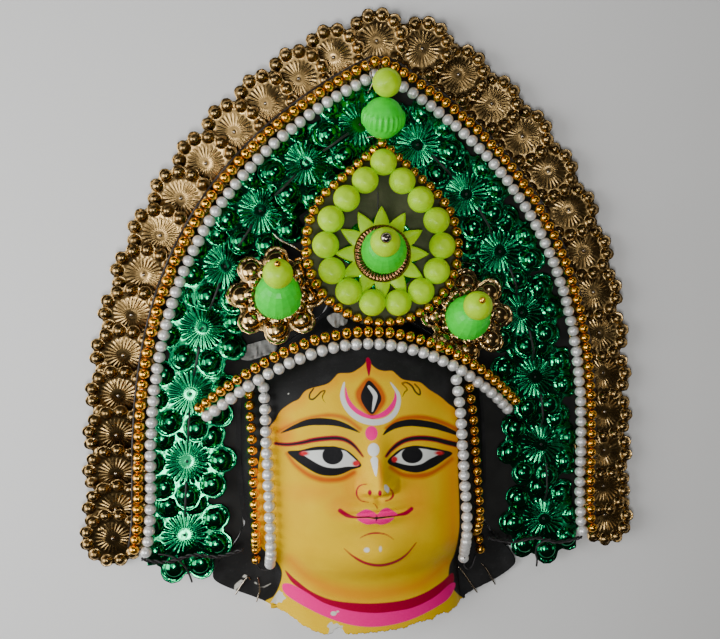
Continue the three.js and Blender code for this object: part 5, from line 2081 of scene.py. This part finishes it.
@dataclass
class Wires:
    """The wire along the rim, the ties and the threads across the green flowers."""

    bench: Bench
    arch: Arch
    base: float
    radius: float = 0.7
    sides: int = 8
    rim_outset: float = 11.9
    rim_sink: float = 2.6
    rim_wave: float = 1.2
    tie_height: float = -166.0
    tie_sag: Sequence[float] = (0, -3, 1, -1, 3)
    twist: float = 0.75
    twist_turn: float = 0.42
    thread: float = 0.75
    thread_from: float = 14.0
    thread_to: float = 11.0
    thread_low: float = 5.5
    thread_rise: float = 6.5
    thread_dip: float = 0.8
    tie_ends: dict[str, Pair] = field(
        default_factory=lambda: {"left": (-157.0, -90.0), "right": (155.0, 84.0)}
    )

    def rim_wire(self) -> None:
        """Makes the black wire outside the gilt strand, dipping between its ties."""
        line = self.arch.line(self.rim_outset, self.base + 4 + GAP)
        line[:, 2] += -self.rim_sink + self.rim_wave * np.sin(np.arange(len(line)) * 0.31)
        wire = Piece("rim_binding_wire")
        wire.add(*tube(line, self.radius, self.sides))
        wire.finish(self.bench, Slot.WIRE, "rim_wire")

    def ties(self) -> None:
        """Makes the twisted pairs of wire that tie the crown's feet to the face."""
        for name, (outer, inner) in self.tie_ends.items():
            height = self.base + 1 + GAP
            knots = [
                (outer + (inner - outer) * i / 4, self.tie_height + dip, height) for i, dip in enumerate(self.tie_sag)
            ]
            line = spline(knots, 24)
            phase = np.arange(len(line)) * self.twist_turn
            pair = Piece(f"twisted_tie_{name}")
            for turn in (0, math.pi):
                twist = self.twist * np.stack([0 * phase, np.cos(phase + turn), np.sin(phase + turn)], axis=1)
                pair.add(*tube(line + twist, self.radius, self.sides))
            pair.finish(self.bench, Slot.WIRE, f"tie_wire_{name}")

    def threads(self, seats: list[Seat]) -> None:
        """Makes the dark thread that runs from each green flower's ribs to the next one's.

        Args:
            seats: The green flowers' seats, in two rows.
        """
        thread = Piece("flower_threads")
        for lower, upper in zip(seats, seats[1:]):
            if lower.middle[1] > upper.middle[1]:
                continue
            way = (upper.middle - lower.middle) / np.linalg.norm(upper.middle - lower.middle)
            start, end = lower.middle + way * self.thread_from, upper.middle - way * self.thread_to
            t = np.linspace(0, 1, 12)[:, None]
            line = start + (end - start) * t
            rise = self.thread_rise * smooth(t[:, 0], 0.0, 0.35) - self.thread_dip * smooth(t[:, 0], 0.9, 1.0)
            line[:, 2] = self.base - self.thread_low + rise
            thread.add(*tube(line, self.thread, self.sides))
        thread.finish(self.bench, Slot.WIRE)


@dataclass(frozen=True)
class Bend:
    """One bent wire: its route in pixels, and its heights along the way."""

    name: str
    route: Places
    heights: Sequence[float]
    radius: float
    slot: Slot = Slot.WIRE
    on_face: bool = False


BENDS = (
    Bend("grey_hook", ((274, 234), (278, 238), (285, 242.5), (294, 247), (301, 251), (306, 250.5)), (20, 23, 22), 0.75,
         Slot.PIN),
    Bend("pale_thread", ((432, 263), (446, 262), (460, 262), (476, 265)), (23, 22, 19.5), 0.4, Slot.PIN),
    Bend("finial_wire_long", ((367, 60), (370, 68), (372, 76), (373.5, 82)), (25, 28, 30), 0.45, Slot.PIN),
    Bend("finial_wire_loop", ((378, 69), (375, 78), (371.5, 86), (368, 93)), (32, 30, 24), 0.45, Slot.PIN),
    Bend("finial_wire_low", ((366, 138), (373, 136.5), (379, 138.5), (385, 137)), (21, 24, 21), 0.5, Slot.PIN),
    Bend("tie_loop_left", ((158, 554), (170, 556), (179, 561), (186, 568), (189.5, 575), (192, 582)), (19.5, 19, 13),
         0.7),
    Bend("tie_loop_right", ((551, 539), (544, 541), (538, 545.5), (535.6, 552), (537, 559), (536.5, 566)), (20, 18, 13),
         0.7),
    Bend("string_loop_left", ((257, 558), (257.5, 565), (262, 569.5), (268, 569), (271, 562)), (16, 13, 25), 0.5),
    Bend("string_loop_right", ((464.5, 556), (464, 565), (467.5, 569), (472, 566), (475.5, 556)), (27, 15, 13), 0.5),
    Bend("staple_left", ((235.5, 594), (239, 588), (243.5, 581), (247.5, 576.5), (250, 579.5)), (0.8, 1.3, 0.8), 0.55,
         Slot.PIN, True),
    Bend("staple_left_low", ((257.5, 577), (259, 584), (259, 592), (256.5, 601)), (0.8, 1.4, 0.8), 0.55, Slot.PIN,
         True),
    Bend("staple_right", ((458, 566), (464, 574), (471, 584), (477, 592)), (1.0, 1.8, 0.8), 0.55, Slot.PIN, True),
    Bend("staple_right_high", ((481, 563), (486, 569), (490, 576), (495, 584)), (0.8, 1.8, 0.8), 0.55, Slot.PIN, True),
    Bend("card_wire", ((377.6, 192), (378.2, 200), (377.6, 208), (378, 217)), (32.5, 32, 31.5), 0.45),
)


@dataclass(frozen=True)
class Scrap:
    """A torn scrap: its outline in pixels, and the height at which it lies."""

    name: str
    outline: Places
    height: float


PAPER_PATCHES = (
    Scrap("paper_patch_left", ((238, 354), (246, 346), (256, 342.5), (267, 340), (277, 343), (275, 352), (264, 356),
                               (252, 360), (243, 360)), 6.0),
    Scrap("paper_patch_middle", ((327, 318), (334, 313), (343, 314.5), (348, 320), (343, 327), (334, 327)), 25.5),
)
CARD_FLAPS = (
    Scrap("card_flap_left", ((213, 553), (222, 551), (226, 560), (222, 571), (216, 574), (212, 566)), 2.4),
    Scrap("card_flap_right", ((492, 530), (505, 528), (517, 531), (518, 540), (508, 545), (494, 542)), 2.4),
)


@dataclass
class SmallThings:
    """Bent wires, staples, torn paper and card that show the mask's making."""

    bench: Bench
    camera: PhotoCamera
    face: FaceShell
    sides: int = 8
    rings: int = 10
    paper_thickness: float = 0.6

    def wires(self) -> None:
        """Makes each bent wire: a tube on a smooth line through its route."""
        for bend in BENDS:
            share = np.linspace(0, 1, len(bend.route))
            heights = np.interp(share, np.linspace(0, 1, len(bend.heights)), bend.heights)
            if bend.on_face:
                knots = self.face.on_skin(bend.route, 0.0) + np.outer(heights, [0.0, 0.0, 1.0])
            else:
                knots = np.concatenate([self.camera.cast([p], h) for p, h in zip(bend.route, heights)])
            piece = Piece(bend.name)
            piece.add(*tube(spline(knots, 8), bend.radius, self.sides))
            piece.finish(self.bench, bend.slot)

    def sheets(self, material: Material, which: Sequence[Scrap]) -> None:
        """Makes scraps of paper or card: closed crumpled sheets whose rings shrink to the outline's middle.

        Args:
            material: Their finish.
            which: The scraps.
        """
        for scrap in which:
            edge = self.camera.cast(spline(scrap.outline, 8, closed=True), scrap.height)
            middle = edge.mean(0)
            arm = edge - middle
            following = np.roll(arm, -1, axis=0)
            if (arm[:, 0] * following[:, 1] - arm[:, 1] * following[:, 0]).sum() < 0:
                arm = arm[::-1]
            columns = len(arm)
            shares = np.linspace(1.0, 0.08, self.rings)[:, None, None]
            top = middle + arm[None] * shares
            x, y = top[..., 0], top[..., 1]
            crumple = 0.5 * np.sin(x * 0.9 + y * 0.5) + 0.4 * np.sin(x * 0.4 - y * 1.3 + 1) + 0.3 * np.sin(x * 2.1)
            top[..., 2] += crumple + 0.8 * (1 - shares[..., 0])
            under = top[::-1] - [0, 0, self.paper_thickness]
            rings = np.concatenate([under, top])
            last = 2 * self.rings * columns
            points = np.concatenate([rings.reshape(-1, 3), rings[[0, -1]].mean(1)])
            quads = net(2 * self.rings, columns, closed=True)
            caps = [fan(last, np.arange(columns))[:, ::-1], fan(last + 1, np.arange(last - columns, last))]
            sheet = Piece(scrap.name)
            sheet.add(points, quads, *caps)
            sheet.finish(self.bench, Slot.CARD, material=material)


@dataclass(frozen=True)
class Studio:
    """A pale floor, and soft boxes whose edges split every bead and dome into a lit and a dark half."""

    floor_half: float = 3.0
    floor_colour: Triple = (0.9, 0.9, 0.89)
    world: tuple[float, float, float, float] = (0.5, 0.5, 0.5, 1.0)
    world_strength: float = 0.035

    def lamp(
        self, name: str, spot: Triple, aim: Triple,
        size: Pair, power: float, colour: Triple = (1.0, 1.0, 1.0),
    ) -> None:
        """Hangs one soft box.

        Args:
            name: The lamp's name.
            spot: Its middle, in metres in the drawing frame.
            aim: The point that it faces.
            size: Width and height.
            power: Watts.
            colour: Light colour.
        """
        light = bpy.data.lights.new(name, "AREA")
        light.shape, light.size, light.size_y, light.energy = "RECTANGLE", *size, power
        light.color = colour
        lamp = bpy.data.objects.new(name, light)
        bpy.context.scene.collection.objects.link(lamp)
        way = (Vector(spot) - Vector(aim)).to_track_quat("Z", "Y").to_matrix().to_4x4()
        lamp.matrix_world = Matrix.Translation(spot) @ way

    def make(self) -> None:
        """Lays the floor and hangs the six lamps, most of them wide and left of the camera."""
        r = Recipe("pale floor")
        speckle = r.noise(40.0, 2.0)
        colour = r.mix(speckle * 0.1, self.floor_colour, (0.8, 0.8, 0.8))
        material = r.set(Base_Color=colour, Roughness=0.9)
        mesh = bpy.data.meshes.new("floor")
        half = self.floor_half
        corners = [(-half, -half, 0), (half, -half, 0), (half, half, 0), (-half, half, 0)]
        mesh.from_pydata(corners, [], [(0, 1, 2, 3)])
        mesh.materials.append(material)
        floor = bpy.data.objects.new("floor", mesh)
        bpy.context.scene.collection.objects.link(floor)
        self.lamp("window", (-0.31, 0.08, 0.7), (-0.31, 0.08, 0.0), (0.42, 0.42), 0.8)
        self.lamp("window corner", (-0.14, -0.1, 0.69), (-0.14, -0.1, 0.0), (0.11, 0.2), 1.7)
        self.lamp("open side", (-1.1, -0.1, 0.42), (0.0, 0.0, 0.02), (0.7, 1.2), 18.0)
        self.lamp("top glare", (0.2, 0.47, 0.65), (0.2, 0.47, 0.0), (0.14, 0.15), 0.6)
        self.lamp("warm strip", (0.75, -0.1, 0.3), (0.05, 0.0, 0.02), (0.2, 0.4), 0.3, (1.0, 0.86, 0.66))
        self.lamp("floor wash", (0.2, 0.0, 1.6), (0.2, 0.0, 0.0), (0.25, 0.25), 0.5)
        world = bpy.data.worlds.new("studio")
        world.use_nodes = True
        world.node_tree.nodes["Background"].inputs["Color"].default_value = self.world
        world.node_tree.nodes["Background"].inputs["Strength"].default_value = self.world_strength
        bpy.context.scene.world = world


def main() -> None:
    """Builds the mask in order and reports each piece."""
    logging.basicConfig(level=logging.INFO, format="%(message)s")
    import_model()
    drawing = Drawing.from_board()
    camera = PhotoCamera()
    camera.make(drawing)
    Studio().make()
    finish = {
        Slot.FACE: FaceFinish().make(),
        Slot.CARD: CardFinish("dark card", (0.008, 0.008, 0.007), (0.018, 0.018, 0.016)).make(),
        Slot.GREEN_FOIL: FoilFinish("green foil", (0.01, 0.34, 0.13), (0.004, 0.17, 0.06)).make(),
        Slot.GOLD_FOIL: FoilFinish("gold foil", (0.66, 0.45, 0.19), (0.42, 0.26, 0.09), 0.15).make(),
        Slot.PEARL: BeadFinish("pearl", (0.8, 0.8, 0.78), (0.66, 0.64, 0.6), 0.4, 0.32, 0.8).make(),
        Slot.GILT: BeadFinish("gilt", (0.98, 0.5, 0.05), (0.8, 0.33, 0.025), 1.0, 0.2).make(),
        Slot.LIME: PlasticFinish("lime plastic", (0.44, 0.74, 0.0), (0.36, 0.64, 0.0)).make(),
        Slot.GREEN: PlasticFinish("green plastic", (0.02, 0.72, 0.03), (0.01, 0.6, 0.02)).make(),
        Slot.WIRE: WireFinish("black wire", (0.02, 0.017, 0.018), 0.2, 0.45).make(),
        Slot.PIN: WireFinish("pin metal", (0.4, 0.34, 0.27), 1.0, 0.2).make(),
    }
    bench = Bench(drawing, finish)
    arch = Arch()
    face = FaceShell(bench, camera)
    face.build()
    crown = FoilCrown(bench, arch, face)
    crown.board()
    seats = crown.green_flowers()
    crown.rim_flowers()
    crown.pins(seats)
    strands = Strands(bench, arch, face, crown.green_top)
    strands.rim()
    strands.brow()
    strands.sides()
    ornaments = Ornaments(bench, crown.green_top)
    ornaments.medallion()
    ornaments.rosettes()
    ornaments.finial()
    wires = Wires(bench, arch, crown.green_top)
    wires.rim_wire()
    wires.ties()
    wires.threads(seats)
    small = SmallThings(bench, camera, face)
    small.wires()
    small.sheets(CardFinish("torn paper", (0.4, 0.4, 0.38), (0.12, 0.12, 0.11)).make(), PAPER_PATCHES)
    small.sheets(finish[Slot.CARD], CARD_FLAPS)


if __name__ == "__main__":
    main()
